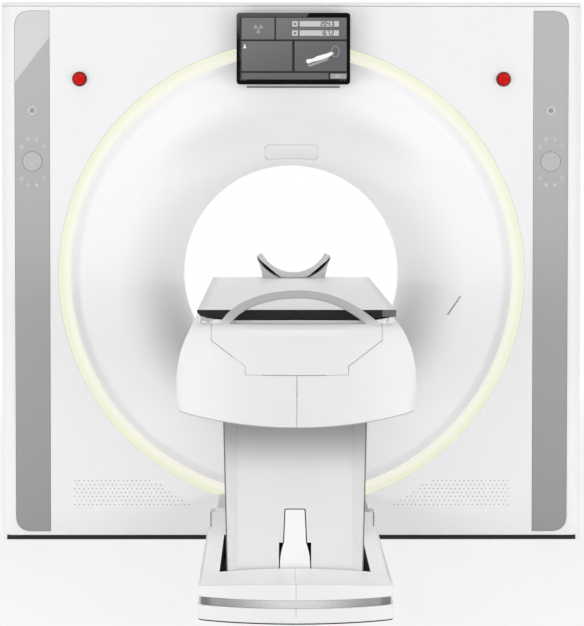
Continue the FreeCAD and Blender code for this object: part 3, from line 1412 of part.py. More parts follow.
def build():
    funnel, funnel_whole = front_funnel()
    base_left, base_right = base_cover()
    shroud_left, shroud_right, inset_panel, shroud_solid, shroud_inside = shroud_parts()
    strip = control_strip()
    side = side_cover()
    stop = stop_head()
    disc = control_disc()
    return {
        "gantry_floor_frame": gantry_floor_frame(),
        "stator_frame": stator_frame(),
        "front_cover": front_cover(),
        "front_funnel": funnel,
        "ring_light": ring_light(),
        "dish_windows": dish_windows(funnel_whole),
        "scan_window": scan_window(),
        "rear_cover": rear_cover(),
        "rear_funnel": rear_funnel(),
        "left_side_cover": mirrored(side),
        "right_side_cover": side,
        "top_cover": top_cover(),
        "left_control_strip": mirrored(strip),
        "right_control_strip": strip,
        "intercom_lenses": both_sides(intercom_lens()),
        "stop_collars": both_sides(stop_collar()),
        "switch_blocks": Part.makeCompound([both_sides(stop_switch()), both_sides(disc_switch())]),
        "left_stop_head": mirrored(stop),
        "right_stop_head": stop,
        "left_control_disc": mirrored(disc),
        "right_control_disc": disc,
        "monitor_bracket": monitor_bracket(),
        "monitor_housing": monitor_housing(),
        "monitor_screen": monitor_screen(),
        "brush_block": brush_block(),
        "rotor_drum": rotor_drum(),
        "xray_tube": xray_tube(),
        "collimator": collimator(),
        "detector_arc": detector_arc(),
        "hv_generator": hv_generator(),
        "cooling_unit": cooling_unit(),
        "balance_weights": balance_weights(),
        "table_floor_frame": table_floor_frame(),
        "base_cover_left": base_left,
        "base_cover_right": base_right,
        "base_trim": base_trim(),
        "column_front_panel": column_front_panel(),
        "column_rear_cover": column_rear_cover(),
        "notch_post": notch_post(),
        "duct_cover": duct_cover(),
        "lift_outer_tube": square_tube(
            OUTER_TUBE_HALF, OUTER_TUBE_WALL, FLOOR_FRAME_THICK, OUTER_TUBE_TOP
        ),
        "lift_inner_tube": lift_inner_tube(),
        "lift_actuator": lift_actuator(),
        "lift_rod": lift_rod(),
        "upper_frame": upper_frame(shroud_inside),
        "guide_rails": guide_rails(),
        "slide_motor": slide_motor(),
        "slide_pulley": slide_pulley(),
        "slide_belt": slide_belt(),
        "support_roller": support_roller(),
        "tabletop": tabletop(),
        "carriage": carriage(),
        "head_rest_shell": head_rest_shell(),
        "head_rest_pad": head_rest_pad(),
        "shroud_left": shroud_left,
        "shroud_right": shroud_right,
        "shroud_inset_panel": inset_panel,
        "handle": handle(shroud_solid),
    }


os.makedirs("parts", exist_ok=True)
for name, shape in build().items():
    shape = finished(shape)
    shape.exportStep(f"parts/{name}.step")
    print(f"{name:22s} solids {len(shape.Solids)} valid {shape.isValid()} litres {shape.Volume / 1e6:.3f}")
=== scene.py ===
from math import asin, cos, dist, hypot, pi, radians, sin, sqrt
import bmesh
import bpy
from mathutils import Matrix, Vector
from mathutils.geometry import tessellate_polygon


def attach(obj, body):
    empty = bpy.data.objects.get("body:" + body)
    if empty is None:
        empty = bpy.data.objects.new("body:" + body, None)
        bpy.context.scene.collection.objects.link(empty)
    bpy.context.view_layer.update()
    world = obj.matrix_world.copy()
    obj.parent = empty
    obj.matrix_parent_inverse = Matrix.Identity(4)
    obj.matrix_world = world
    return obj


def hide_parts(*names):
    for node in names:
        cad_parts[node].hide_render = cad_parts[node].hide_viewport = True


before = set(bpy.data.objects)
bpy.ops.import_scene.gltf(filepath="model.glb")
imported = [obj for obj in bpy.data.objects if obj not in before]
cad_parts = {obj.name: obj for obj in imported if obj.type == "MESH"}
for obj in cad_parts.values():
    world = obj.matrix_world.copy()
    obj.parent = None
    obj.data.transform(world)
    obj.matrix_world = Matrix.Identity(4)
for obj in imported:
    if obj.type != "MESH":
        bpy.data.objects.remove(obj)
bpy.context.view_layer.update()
scene = bpy.context.scene

# A whole-body CT scanner. Sizes are millimetres, in the frame of the solids, and pieces are made in metres.
MM = 0.001
ISO = 848.0
FACE = -425.0
BACK = 425.0
SIDE = 925.0
SIDES = ((-1, "left"), (1, "right"))
MERGE = 0.02                  # points closer than this are one


# ---- shader values ----
class Value:
    """A number or colour on a shader socket; arithmetic on it adds the nodes."""

    def __init__(self, finish, socket):
        self.finish = finish
        self.socket = socket

    def maths(self, operation, *values):
        return self.finish.node("ShaderNodeMath", dict(operation=operation), values)

    def __add__(self, other):
        return self.maths("ADD", self, other)

    def __radd__(self, other):
        return self.maths("ADD", other, self)

    def __sub__(self, other):
        return self.maths("SUBTRACT", self, other)

    def __rsub__(self, other):
        return self.maths("SUBTRACT", other, self)

    def __mul__(self, other):
        return self.maths("MULTIPLY", self, other)

    def __rmul__(self, other):
        return self.maths("MULTIPLY", other, self)

    def __pow__(self, power):
        return self.maths("POWER", self, power)

    def __abs__(self):
        return self.maths("ABSOLUTE", self)

    def between(self, low, high):
        """0 up to low, 1 from high on, and smooth in between."""
        settings = dict(interpolation_type="SMOOTHSTEP")
        return self.finish.node("ShaderNodeMapRange", settings, [self, low, high, 0.0, 1.0])


class Finish:
    """One material: a Principled shader with its fixed numbers, and nodes for what varies."""

    def __init__(self, name, colour, roughness, **fixed):
        self.material = bpy.data.materials.new(name)
        self.material.use_nodes = True
        self.tree = self.material.node_tree
        self.shader = self.tree.nodes["Principled BSDF"]
        fixed.update(Base_Color=tuple(colour) + (1.0,), Roughness=roughness)
        for socket, number in fixed.items():
            self.shader.inputs[socket.replace("_", " ")].default_value = number

    def node(self, kind, settings=None, inputs=(), out=0):
        made = self.tree.nodes.new(kind)
        for setting, chosen in (settings or {}).items():
            setattr(made, setting, chosen)
        pairs = inputs.items() if isinstance(inputs, dict) else enumerate(inputs)
        for socket, given in pairs:
            if isinstance(given, Value):
                self.tree.links.new(given.socket, made.inputs[socket])
            else:
                made.inputs[socket].default_value = given
        return Value(self, made.outputs[out])

    def feed(self, socket, value):
        self.tree.links.new(value.socket, self.shader.inputs[socket])

    def place(self):
        return self.node("ShaderNodeTexCoord", out="Object")

    def axes(self):
        """X, Y and Z in metres, in the frame of the whole machine."""
        split = self.node("ShaderNodeSeparateXYZ", inputs=[self.place()])
        return [Value(self, split.socket.node.outputs[axis]) for axis in range(3)]

    def noise(self, scale, detail=3.0, rough=0.5):
        inputs = {"Vector": self.place(), "Scale": scale, "Detail": detail, "Roughness": rough}
        return self.node("ShaderNodeTexNoise", inputs=inputs)

    def slow(self):
        return self.noise(1.7, 2.0)

    def grain(self, stretch):
        """Noise drawn out along an axis."""
        mapped = self.node("ShaderNodeMapping", inputs={"Vector": self.place(), "Scale": stretch})
        return self.node("ShaderNodeTexNoise", inputs={"Vector": mapped, "Scale": 1.0, "Detail": 3.0})

    def blend(self, factor, first, second):
        """The first colour where the factor is 0, the second where it is 1."""
        first, second = [end if isinstance(end, Value) else tuple(end) + (1.0,) for end in (first, second)]
        return self.node("ShaderNodeMix", dict(data_type="RGBA"), {0: factor, 6: first, 7: second}, out=2)

    def base(self, *ends):
        self.feed("Base Color", self.blend(*ends))

    def bump(self, height, strength, distance):
        inputs = {"Height": height, "Strength": strength, "Distance": distance}
        self.feed("Normal", self.node("ShaderNodeBump", inputs=inputs))

    def peel(self, strength=0.35, distance=0.00008):
        """The fine orange peel of moulded or painted plastic."""
        self.bump(self.noise(420.0, 2.0), strength, distance)

    def satin(self, roughness, drift=None):
        """Orange peel, and a gloss that drifts slowly."""
        self.feed("Roughness", roughness + 0.06 * (drift or self.slow()))
        self.peel()


def grey(value, blue=0.005):
    return (value, value, value + blue)


def shade(colour, factor):
    return tuple(min(1.0, part * factor) for part in colour)


def moulded(name, colour, roughness, **fixed):
    """Moulded or painted plastic with a slow drift of tone and gloss."""
    finish = Finish(name, colour, roughness, **fixed)
    drift = finish.slow()
    finish.base(drift, shade(colour, 0.98), shade(colour, 1.02))
    finish.satin(roughness - 0.03, drift)
    return finish


def brushed(name, colour, roughness):
    """Drawn metal: fine lines along Y."""
    finish = Finish(name, colour, roughness, Metallic=1.0)
    grain = finish.grain([600.0, 6.0, 600.0])
    finish.base(grain, shade(colour, 0.86), shade(colour, 1.1))
    finish.feed("Roughness", roughness - 0.08 + 0.16 * grain)
    finish.bump(grain, 0.2, 0.00005)
    return finish


def rubbed(name, colour, roughness):
    """Black rubber or dark cast plastic with a dusty bloom; also the dark sheets of painted shade in gaps, holes and
    the column's well.
    """
    finish = Finish(name, colour, roughness)
    cloud = finish.noise(9.0, 5.0, 0.6)
    finish.base(cloud, shade(colour, 0.75), shade(colour, 1.5))
    finish.feed("Roughness", roughness - 0.1 + 0.2 * cloud)
    finish.bump(finish.noise(900.0, 2.0), 0.3, 0.00006)
    return finish


def glow(name, colour, sheen=0.0):
    """A lit cell of the display, with the panel's fine pixel rows, and where asked for a painted reflection towards its
    upper left.
    """
    finish = Finish(name, shade(colour, 0.3), 0.3, Specular_IOR_Level=0.2, Emission_Strength=1.0)
    x, _, z = finish.axes()
    row = abs(finish.node("ShaderNodeMath", dict(operation="SINE"), [z * 5200.0]))
    tone = finish.blend(row, shade(colour, 0.94), colour)
    if sheen:
        # painted reflection: lighter towards the screen's upper left
        upper_left = (z - 0.4 * x).between(1.48, 1.72)
        tone = finish.blend(upper_left, tone, tuple(part + sheen for part in colour))
    finish.feed("Emission Color", tone)
    return finish


WHITE = (0.855, 0.855, 0.862)
BLACK = (0.0, 0.0, 0.0)
# the emission of a painted glow on the bore's white walls
PAINTED_GLOW = (0.24, 0.24, 0.24)
white_table = moulded("white_table", grey(0.865), 0.33, Coat_Weight=0.2, Coat_Roughness=0.18)
# white_top: the base's upper faces, a lighter white than the rest of the base with a faint glow, painted light where
# the shroud above shades them
white_top = moulded("white_top", grey(0.99, 0.0), 0.33, Emission_Color=(1.0, 1.0, 1.0, 1.0), Emission_Strength=0.12)
liner_white = moulded("liner_white", grey(0.96), 0.5)
window_pane = moulded("window_pane", grey(0.87), 0.3, Coat_Weight=0.1)
pane_gap = moulded("pane_gap", grey(0.42), 0.6)
slit_glass = moulded("slit_glass", grey(0.32), 0.3)
disc_plastic = moulded("disc_plastic", grey(0.485), 0.35)
key_plastic = moulded("key_plastic", grey(0.47), 0.3)
glyph_white = moulded("glyph_white", grey(0.66), 0.4)
glyph_grey = moulded("glyph_grey", grey(0.40), 0.4)
lens_plastic = moulded("lens_plastic", grey(0.56), 0.35)
grey_lens = moulded("grey_lens", grey(0.36), 0.42)
stop_red = moulded("stop_red", (0.575, 0.002, 0.002), 0.35, Coat_Weight=0.05, Specular_IOR_Level=0.1)
glyph_red = moulded("glyph_red", (0.66, 0.06, 0.055), 0.4, Specular_IOR_Level=0.2)
grey_rest = moulded("grey_rest", grey(0.50), 0.5)
rest_line = moulded("rest_line", grey(0.055, 0.001), 0.5, Specular_IOR_Level=0.2)
grey_catch = moulded("grey_catch", grey(0.13, 0.003), 0.5, Specular_IOR_Level=0.3)
dark_shell = moulded("dark_shell", grey(0.013, 0.001), 0.45, Specular_IOR_Level=0.2)
# near-black: the base's dark foot strip, which also paints its contact shadow, and painted shade on the walls and floor
# of the column's well and in the intercom's small holes
dark_seal_and_shade = rubbed("dark_seal_and_shade", grey(0.02, 0.001), 0.75)
# dark sheets of painted shade: behind the gaps round the control strips and their discs, and in the small holes low on
# the front cover
gap_shade = rubbed("gap_shade", grey(0.16), 0.8)
dark_plinth = rubbed("dark_plinth", grey(0.012, 0.001), 0.55)
frame_paint = moulded("frame_paint", (0.11, 0.115, 0.125), 0.45)
rotor_paint = moulded("rotor_paint", (0.55, 0.56, 0.57), 0.4)
plain_steel = brushed("plain_steel", grey(0.58, 0.01), 0.32)
belt_rubber = rubbed("belt_rubber", grey(0.025, 0.001), 0.7)
display_dark = glow("display_dark", grey(0.016, 0.002))
display_cell = glow("display_cell", grey(0.098, 0.004), 0.055)
display_mid = glow("display_mid", grey(0.27, 0.01))
display_light = glow("display_light", grey(0.45, 0.015))
display_white = glow("display_white", grey(0.72, 0.015))


def painted(colour, roughness, **fixed):
    """Turns a function that wires a finish, given X, Y and Z in metres, into that finish."""
    def wire(function):
        finish = Finish(function.__name__, colour, roughness, **fixed)
        function(finish, *finish.axes())
        return finish
    return wire


def from_axis(x, z):
    """The distance from the bore's axis, on shader values in metres."""
    height = z - ISO * MM
    return (x * x + height * height) ** 0.5


@painted(grey(0.86), 0.38)
def column_paint(finish, x, y, z):
    """Greyer side bands with a dark line at each edge, and painted shade up under the shroud."""
    out = abs(x) - 0.0219 * z
    front = 1.0 - y.between(-1.9345, -1.9335)
    tone = finish.blend(out.between(0.142, 0.154) * front, grey(0.82), grey(0.76))
    # painted shade, darkening up towards the shroud overhead
    tone = finish.blend(z.between(0.355, 0.50), tone, grey(0.36))
    finish.base(out.between(0.1805, 0.1815) * front, tone, grey(0.15))
    finish.satin(0.35)


@painted(grey(0.85), 0.45)
def duct_paint(finish, x, y, z):
    """Greyer over the duct cover's raised middle and greyest on that part's right, both painted shade under the table,
    with a dark line painted as the shadow gap round its edge.
    """
    # painted shade: greyer over the raised middle, darkest on its right
    upper = finish.blend(x.between(-0.1, 0.2), grey(0.80), grey(0.45))
    tone = finish.blend(z.between(0.1335, 0.136), grey(0.85), upper)
    # painted shadow gap: a dark line round the cover's edge
    rim = abs(x).between(0.2475, 0.2485) * (1.0 - y.between(-0.8345, -0.8325))
    finish.base(rim, tone, grey(0.25))
    finish.satin(0.42)


@painted(grey(0.004, 0.0), 0.25, Specular_IOR_Level=0.05)
def bezel_gloss(finish, x, y, z):
    """The monitor's black case, with a painted highlight over its upper left."""
    # painted highlight: paler over the case's upper left
    pale = (1.0 - (x - 0.6 * z).between(-0.955, -0.952)) * z.between(1.58, 1.67)
    finish.base(pale, grey(0.003, 0.0), grey(0.085, 0.001))
    finish.feed("Roughness", 0.22 + 0.06 * finish.noise(30.0))
    finish.peel(0.2, 0.00005)


@painted(grey(0.6), 0.45)
def bracket_paint(finish, x, y, z):
    """The monitor's bracket: pale, with a dark lower lip painted as the shade under the monitor."""
    # painted shade: dark on the lip below the monitor
    finish.base(z.between(1.4495, 1.451), grey(0.15), grey(0.72))
    finish.satin(0.4, finish.noise(30.0))


@painted(grey(0.7, 0.01), 0.34, Metallic=1.0)
def band_metal(finish, x, y, z):
    """The base's silver band: brushed along its length, and darker towards its two ends and round its corners, a
    painted reflection.
    """
    out = abs(x)
    grain = finish.grain([4.0, 600.0, 700.0])
    # painted reflection: lighter in the middle, darker towards the ends and round the corners
    tone = finish.blend(out.between(0.03, 0.20), grey(0.93), grey(0.44))
    tone = finish.blend(out.between(0.215, 0.235), tone, grey(0.24))
    finish.base(grain * 0.4, tone, grey(0.30))
    finish.feed("Roughness", 0.28 + 0.16 * grain)
    finish.bump(grain, 0.2, 0.00005)


# a white set darker than the other covers' white: painted shade
@painted(grey(0.775), 0.33, Coat_Weight=0.2, Coat_Roughness=0.18)
def shroud_paint(finish, x, y, z):
    """The table's upper shroud: satin white set a shade darker than the other covers, with a grey line along its lower
    rim, both painted shade.
    """
    over_rim = z - (1.954 - (2.007889 - x * x) ** 0.5)
    drift = finish.slow()
    tone = finish.blend(drift, grey(0.765), grey(0.785))
    # painted shade: a grey line along the lower rim
    finish.base(over_rim.between(0.0018, 0.0034), grey(0.38), tone)
    finish.satin(0.30, drift)


@painted(grey(0.42), 0.42)
def handle_paint(finish, x, y, z):
    """The arched handle: mid grey, paling at its two feet."""
    drift = finish.slow()
    finish.base(z.between(0.785, 0.822), grey(0.66), finish.blend(drift, grey(0.40), grey(0.43)))
    finish.satin(0.38, drift)


@painted(WHITE, 0.36, Coat_Weight=0.15, Coat_Roughness=0.2)
def cover_white(finish, x, y, z):
    """The gantry's covers: satin white, with painted light making them a shade lighter towards the foot."""
    drift = finish.slow()
    # painted light: lighter towards the foot
    finish.base(z.between(0.0, 0.9), grey(0.95), finish.blend(drift, shade(WHITE, 0.985), shade(WHITE, 1.015)))
    finish.satin(0.33, drift)


@painted(grey(0.915, 0.007), 0.42, Coat_Weight=0.1, Coat_Roughness=0.25, Emission_Strength=1.0)
def dish_white(finish, x, y, z):
    """The covers' white, a little cooler and less glossy; painted lighter low down and towards the throat and darker
    high up, with a painted glow in the throat.
    """
    radius = from_axis(x, z)
    drift = finish.slow()
    tone = finish.blend(drift, grey(0.905, 0.007), grey(0.925, 0.007))
    # painted light and shade: lighter low down, darker high up round the bore, and lighter towards the throat
    tone = finish.blend(z.between(0.25, 0.65), grey(0.99, 0.0), tone)
    upper = z.between(1.14, 1.30) * (1.0 - radius.between(0.50, 0.60))
    tone = finish.blend(upper, tone, grey(0.79))
    finish.base(radius.between(0.33, 0.50), grey(0.95), tone)
    # a painted glow inside the throat
    finish.feed("Emission Color", finish.blend(y.between(-0.147, -0.143), BLACK, PAINTED_GLOW))
    finish.satin(0.39, drift)


@painted(grey(0.96), 0.5, Emission_Strength=1.0)
def bore_white(finish, x, y, z):
    """The bore's inner wall: white, with a painted glow up to where its rear end flares."""
    finish.base(finish.slow(), grey(0.95), grey(0.97))
    # a painted glow up to where the rear end flares
    finish.feed("Emission Color", finish.blend(y.between(0.255, 0.28), PAINTED_GLOW, BLACK))
    finish.peel()


@painted((0.9, 0.92, 0.7), 0.4, Emission_Strength=1.0)
def ring_glow(finish, x, y, z):
    """The lamp ring: pale yellow at its outer half and cream at its inner half, faintly lit."""
    outer = from_axis(x, z).between(0.716, 0.734)
    finish.base(outer, (0.26, 0.26, 0.25), (0.25, 0.26, 0.24))
    finish.feed("Emission Color", finish.blend(outer, (0.67, 0.66, 0.55), (0.60, 0.62, 0.45)))
    finish.bump(finish.noise(300.0), 0.15, 0.0001)


@painted(grey(0.66), 0.3, Specular_IOR_Level=0.3)
def top_skin(finish, x, y, z):
    """The tabletop's pale grey laminate, a little mottled, with painted shade along its edges."""
    cloud = finish.noise(6.0, 4.0)
    # painted shade: greyer along the side edges
    finish.base(abs(x).between(0.225, 0.252), finish.blend(cloud, grey(0.85), grey(0.90)), grey(0.70))
    finish.feed("Roughness", 0.3 + 0.06 * cloud)
    finish.bump(finish.noise(500.0), 0.15, 0.00005)


@painted(grey(0.55), 0.55)
def pad_cover(finish, x, y, z):
    """The head rest's wipe-clean covering, with a fine grain."""
    finish.base(finish.noise(14.0), grey(0.54), grey(0.62))
    cells = finish.node("ShaderNodeTexVoronoi", inputs={"Vector": finish.place(), "Scale": 900.0})
    finish.bump(cells, 0.3, 0.0002)


def strip_glass(word, side):
    """Grey glass over the control strip, with painted reflections: deeper towards its foot, and a paler corner at the
    left's top.
    """
    finish = Finish("glass_" + word, grey(0.45, 0.01), 0.16, Coat_Weight=0.5, Coat_Roughness=0.05)
    x, _, z = finish.axes()
    # painted reflection: lighter at the top, deeper towards the foot
    tone = finish.blend(z.between(0.1, 1.75), grey(0.33), grey(0.45))
    if side < 0:
        # painted reflection: a paler corner at the top of the left strip
        tone = finish.blend(0.75 * (z - 1.30 * x).between(2.605, 2.612), tone, grey(0.70))
    finish.feed("Base Color", tone)
    finish.feed("Roughness", 0.14 + 0.05 * finish.noise(3.0))
    return finish


# ---- forms ----
def spread(last, steps):
    """Evenly spaced numbers from 0 to last."""
    return [last * step / steps for step in range(steps + 1)]


def soften(points, radius, steps, closed=True):
    """The same outline with each corner turned into a small curve."""
    made = []
    count = len(points)
    for index, corner in enumerate(points):
        if not closed and index in (0, count - 1):
            made.append(tuple(corner))
            continue
        here = Vector(corner)
        before = Vector(points[index - 1]) - here
        after = Vector(points[(index + 1) % count]) - here
        reach = radius[index] if isinstance(radius, (list, tuple)) else radius
        reach = min(reach, before.length * 0.49, after.length * 0.49)
        if reach < 1e-6:
            made.append(tuple(corner))
            continue
        start = here + before.normalized() * reach
        end = here + after.normalized() * reach
        for step in range(steps + 1):
            t = step / steps
            made.append(tuple(start * (1 - t) ** 2 + here * 2 * t * (1 - t) + end * t * t))
    return made


def area(points):
    return sum(a[0] * b[1] - b[0] * a[1] for a, b in zip(points, points[1:] + points[:1])) / 2


def drawn_in(points, amount):
    """A closed outline moved inwards by an amount, mitred at its corners."""
    turn = 1 if area(points) > 0 else -1
    made = []
    count = len(points)
    for index, corner in enumerate(points):
        here = Vector(corner)
        before = (here - Vector(points[index - 1])).normalized()
        after = (Vector(points[(index + 1) % count]) - here).normalized()
        normal_a = Vector((-before.y, before.x)) * turn
        normal_b = Vector((-after.y, after.x)) * turn
        middle = (normal_a + normal_b).normalized()
        made.append(tuple(here + middle * (amount / max(0.35, middle.dot(normal_a)))))
    return made


def oval(x, z, width, height, sides=32):
    return [(x + width * cos(a), z + height * sin(a)) for a in spread(2 * pi, sides)[:-1]]


def circle(radius, x, z, sides):
    return oval(x, z, radius, radius, sides)


def rectangle(x0, x1, z0, z1):
    return [(x0, z0), (x1, z0), (x1, z1), (x0, z1)]


def box_about(x, z, half_x, half_z):
    return rectangle(x - half_x, x + half_x, z - half_z, z + half_z)


def rounding(start, radius, steps, sign=1):
    """(place, inset) down a rounded edge from its face at start; with sign -1, up to a face from its side."""
    turns = spread(pi / 2, steps)
    pairs = [(start + sign * radius * (1 - cos(a)), radius * (1 - sin(a))) for a in turns]
    return pairs[::sign]


def rows_at(outline, levels, sign=1):
    """An (x, z) outline at each (y, inset) level, drawn in by its inset, or out where the sign is -1."""
    return [[(x, y, z) for x, z in drawn_in(outline, sign * inset)] for y, inset in levels]


def thicken(work, depth):
    """Give an open skin its wall, on the side away from its normals."""
    work.normal_update()
    outer = list(work.faces)
    edges = [e for e in work.edges if e.is_boundary]
    inner = {v: work.verts.new(v.co - v.normal * depth) for v in list(work.verts)}
    for face in outer:
        made = work.faces.new([inner[v] for v in reversed(face.verts)])
        made.material_index = face.material_index
    for edge in edges:
        a, b = edge.verts
        loop = edge.link_loops[0]
        if loop.vert is not a:
            a, b = b, a
        work.faces.new((b, a, inner[a], inner[b]))
    work.normal_update()


def placed(name, data):
    """A new object, linked to the scene."""
    made = bpy.data.objects.new(name, data)
    scene.collection.objects.link(made)
    return made


class Form:
    """Points and faces gathered in millimetres, then made into one piece."""

    def __init__(self):
        self.points = []
        self.faces = []
        self.marks = []

    def add(self, points, faces, mark=0):
        start = len(self.points)
        self.points += [tuple(p) for p in points]
        self.faces += [tuple(start + i for i in face) for face in faces]
        self.marks += [mark] * len(faces)

    def sheet(self, rows, wrap=False, mark=0, gap=None):
        """Quads between rows of points; wrap joins each row's end to its start, gap leaves one column open."""
        across = len(rows[0])
        points = [p for row in rows for p in row]
        faces = []
        for j in range(len(rows) - 1):
            for i in range(across if wrap else across - 1):
                if i == gap:
                    continue
                k = (i + 1) % across
                faces.append((j * across + i, j * across + k, (j + 1) * across + k, (j + 1) * across + i))
        self.add(points, faces, mark)

    def cap(self, points, mark=0):
        self.add(points, [tuple(range(len(points)))], mark)

    def loft(self, rows, mark=0):
        """A tube through closed rows, capped at both ends."""
        self.sheet(rows, wrap=True, mark=mark)
        self.cap(rows[0], mark)
        self.cap(rows[-1], mark)

    def panel(self, loops, to_point, mark=0):
        """A flat face with holes: the first loop is its outline."""
        flat = [[Vector((p[0], p[1], 0.0)) for p in loop] for loop in loops]
        corners = [p for loop in loops for p in loop]
        self.add([to_point(*p) for p in corners], tessellate_polygon(flat), mark)

    def turned(self, profile, x=0.0, z=ISO, sides=128, closed=True, mark=0):
        """A round form about an axis along Y, from its section in (radius, y)."""
        rows = []
        for radius, y in profile + (profile[:1] if closed else []):
            rows.append([(px, y, pz) for px, pz in circle(radius, x, z, sides)])
        self.sheet(rows, wrap=True, mark=mark)

    def slab(self, outline, front, back, edge, steps, hole=None, mark=0, rear_edge=0.0):
        """A plate facing along -Y from an (x, z) outline, with a rounded front edge."""
        levels = rounding(front, edge, steps) + [(back - rear_edge, 0.0)]
        if rear_edge:
            levels.append((back, rear_edge))
        rows = rows_at(outline, levels)
        if hole is None:
            self.loft(rows, mark)
            return
        self.sheet(rows, wrap=True, mark=mark)
        self.panel([drawn_in(outline, edge), drawn_in(hole, -edge)], lambda x, z: (x, front, z), mark)
        self.panel([drawn_in(outline, rear_edge), hole], lambda x, z: (x, back, z), mark)
        levels = rounding(front, edge, steps) + [(back, 0.0)]
        self.sheet(rows_at(hole, levels, -1), wrap=True, mark=mark)

    def make(self, name, body, finishes, *nodes, slot=None, sharp=38, weighted=True, thick=0.0, outward_from=None):
        """The piece itself: merged, shaded smooth between its sharp edges, and riding on its body."""
        mesh = bpy.data.meshes.new(name)
        mesh.from_pydata([(x * MM, y * MM, z * MM) for x, y, z in self.points], [], self.faces)
        finishes = finishes if isinstance(finishes, (list, tuple)) else [finishes]
        for finish in finishes:
            mesh.materials.append(finish.material)
        mesh.polygons.foreach_set("material_index", self.marks)
        work = bmesh.new()
        work.from_mesh(mesh)
        bmesh.ops.remove_doubles(work, verts=work.verts, dist=MERGE * MM)
        bmesh.ops.recalc_face_normals(work, faces=work.faces)
        if outward_from:
            middle = Vector(outward_from) * MM
            facing = sum(1 if f.normal.dot(f.calc_center_median() - middle) > 0 else -1 for f in work.faces)
            if facing < 0:
                bmesh.ops.reverse_faces(work, faces=work.faces)
        if thick:
            thicken(work, thick * MM)
        work.to_mesh(mesh)
        work.free()
        mesh.shade_smooth()
        mesh.set_sharp_from_angle(angle=radians(sharp))
        piece = placed(name, mesh)
        if weighted:
            normals = piece.modifiers.new("normals", "WEIGHTED_NORMAL")
            normals.keep_sharp = True
        if nodes:
            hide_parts(*nodes)
        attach(piece, body)
        return piece


# ---- gantry covers ----
STRIP_IN, STRIP_OUT, STRIP_LOW, STRIP_HIGH = 771.0, 881.0, 28.0, 1689.0
DISC_X, DISC_Z, DISC_R = 826.0, 1211.0, 31.0
STOP_X, STOP_Z = 675.0, 1473.0
LENS_Z = 1373.0
RING_OUTER, RING_INNER = 743.0, 705.0
COVER_LOW, COVER_HIGH, TOP = 15.0, 1704.0, 1716.0
COVER_CORNER, COVER_DEPTH, COVER_EDGE = 38.0, 60.0, 3.0
LIP = 1.2                     # the radius of the lip round each hole in a cover


def strip_outline(side, grow):
    """The control strip's outline, its two outer corners rounded."""
    points = rectangle(STRIP_IN - grow, STRIP_OUT + grow, STRIP_LOW - grow, STRIP_HIGH + grow)
    outline = soften(points, [2.0, 52.0, 52.0, 2.0], 12)
    return outline if side > 0 else [(-x, z) for x, z in reversed(outline)]


def cover_section(face, inward):
    """The cover's plan section from one flange round the face to the other, with its outward normals."""
    corner = COVER_CORNER
    left = [((-SIDE, face + inward * COVER_DEPTH), (-1.0, 0.0))]
    for a in spread(pi / 2, 10):
        place = (-SIDE + corner * (1 - cos(a)), face + inward * corner * (1 - sin(a)))
        left.append((place, (-cos(a), -inward * sin(a))))
    right = [((-x, y), (-nx, ny)) for (x, y), (nx, ny) in reversed(left)]
    return left + right, len(left) - 1


def cover_form(face, inward, holes):
    """A gantry cover: flat face with holes, rounded upright edges, and short flanges behind."""
    section, last_left = cover_section(face, inward)
    levels = rounding(COVER_LOW, COVER_EDGE, 4) + rounding(COVER_HIGH, COVER_EDGE, 4, -1)
    split = len(levels) // 2 - 1
    form = Form()
    rows = [[(x - nx * inset, y - ny * inset, z) for (x, y), (nx, ny) in section] for z, inset in levels]
    for j in range(len(rows) - 1):
        pair = rows[j: j + 2]
        if j == split:
            form.sheet([row[: last_left + 1] for row in pair])
            form.sheet([row[last_left + 1:] for row in pair])
        else:
            form.sheet(pair)
    inner = SIDE - COVER_CORNER
    outline = rectangle(-inner, inner, levels[split][0], levels[split + 1][0])
    lips = [drawn_in(hole, -LIP) for hole in holes]
    form.panel([outline] + lips, lambda x, z: (x, face, z))
    for hole in holes:
        levels = [(face + inward * y, inset) for y, inset in rounding(0.0, LIP, 3) + [(6.0, 0.0)]]
        form.sheet(rows_at(hole, levels, -1), wrap=True)
    return form


ring_hole = circle(RING_OUTER + 0.6, 0.0, ISO, 160)
stop_holes = [circle(8.5, side * STOP_X, STOP_Z, 24) for side in (-1, 1)]
front = cover_form(FACE, 1, [ring_hole] + stop_holes + [strip_outline(-1, 0.7), strip_outline(1, 0.7)])
# a dark bed behind each control strip: painted shade seen through the gaps round the strip and its disc
for side in (-1, 1):
    bed = strip_outline(side, 4.0)
    front.panel([bed, circle(DISC_R + 4, side * DISC_X, DISC_Z, 40)], lambda x, z: (x, FACE + 3.4, z), mark=1)
front.make("front_cover_skin", "scanner", [cover_white, gap_shade], "front_cover", slot="cover")
rear_hole = circle(524.3, 0.0, ISO, 128)
rear = cover_form(BACK, -1, [rear_hole])
rear.make("rear_cover_skin", "scanner", cover_white, "rear_cover", slot="cover")

cap = Form()
corners = soften(rectangle(-SIDE, SIDE, FACE, BACK), 46.0, 8)
levels = rounding(COVER_HIGH + 0.8, 2.0, 3)[::-1] + rounding(TOP, 7.0, 6, -1)
cap.loft([[(x, y, z) for x, y in drawn_in(corners, inset)] for z, inset in levels])
cap.make("top_cover_skin", "scanner", cover_white, "top_cover", slot="cover")

for side, word in SIDES:
    panel = Form()
    outline = soften(rectangle(-363.5, 363.5, COVER_LOW + 0.5, COVER_HIGH - 0.5), 4.0, 3)
    levels = rounding(0.0, 3.0, 4) + [(30.0, 0.0)]
    panel.loft([[(side * (SIDE - deep), y, z) for y, z in drawn_in(outline, inset)] for deep, inset in levels])
    panel.make(word + "_side_skin", "scanner", cover_white, word + "_side_cover", slot="cover")


# ---- dish and bore ----
RIM_Y, STEP_Y, THROAT_Y = -423.0, -407.0, -145.0
STEP_R, FLARE_R, BORE_R = 674.0, 560.0, 350.0


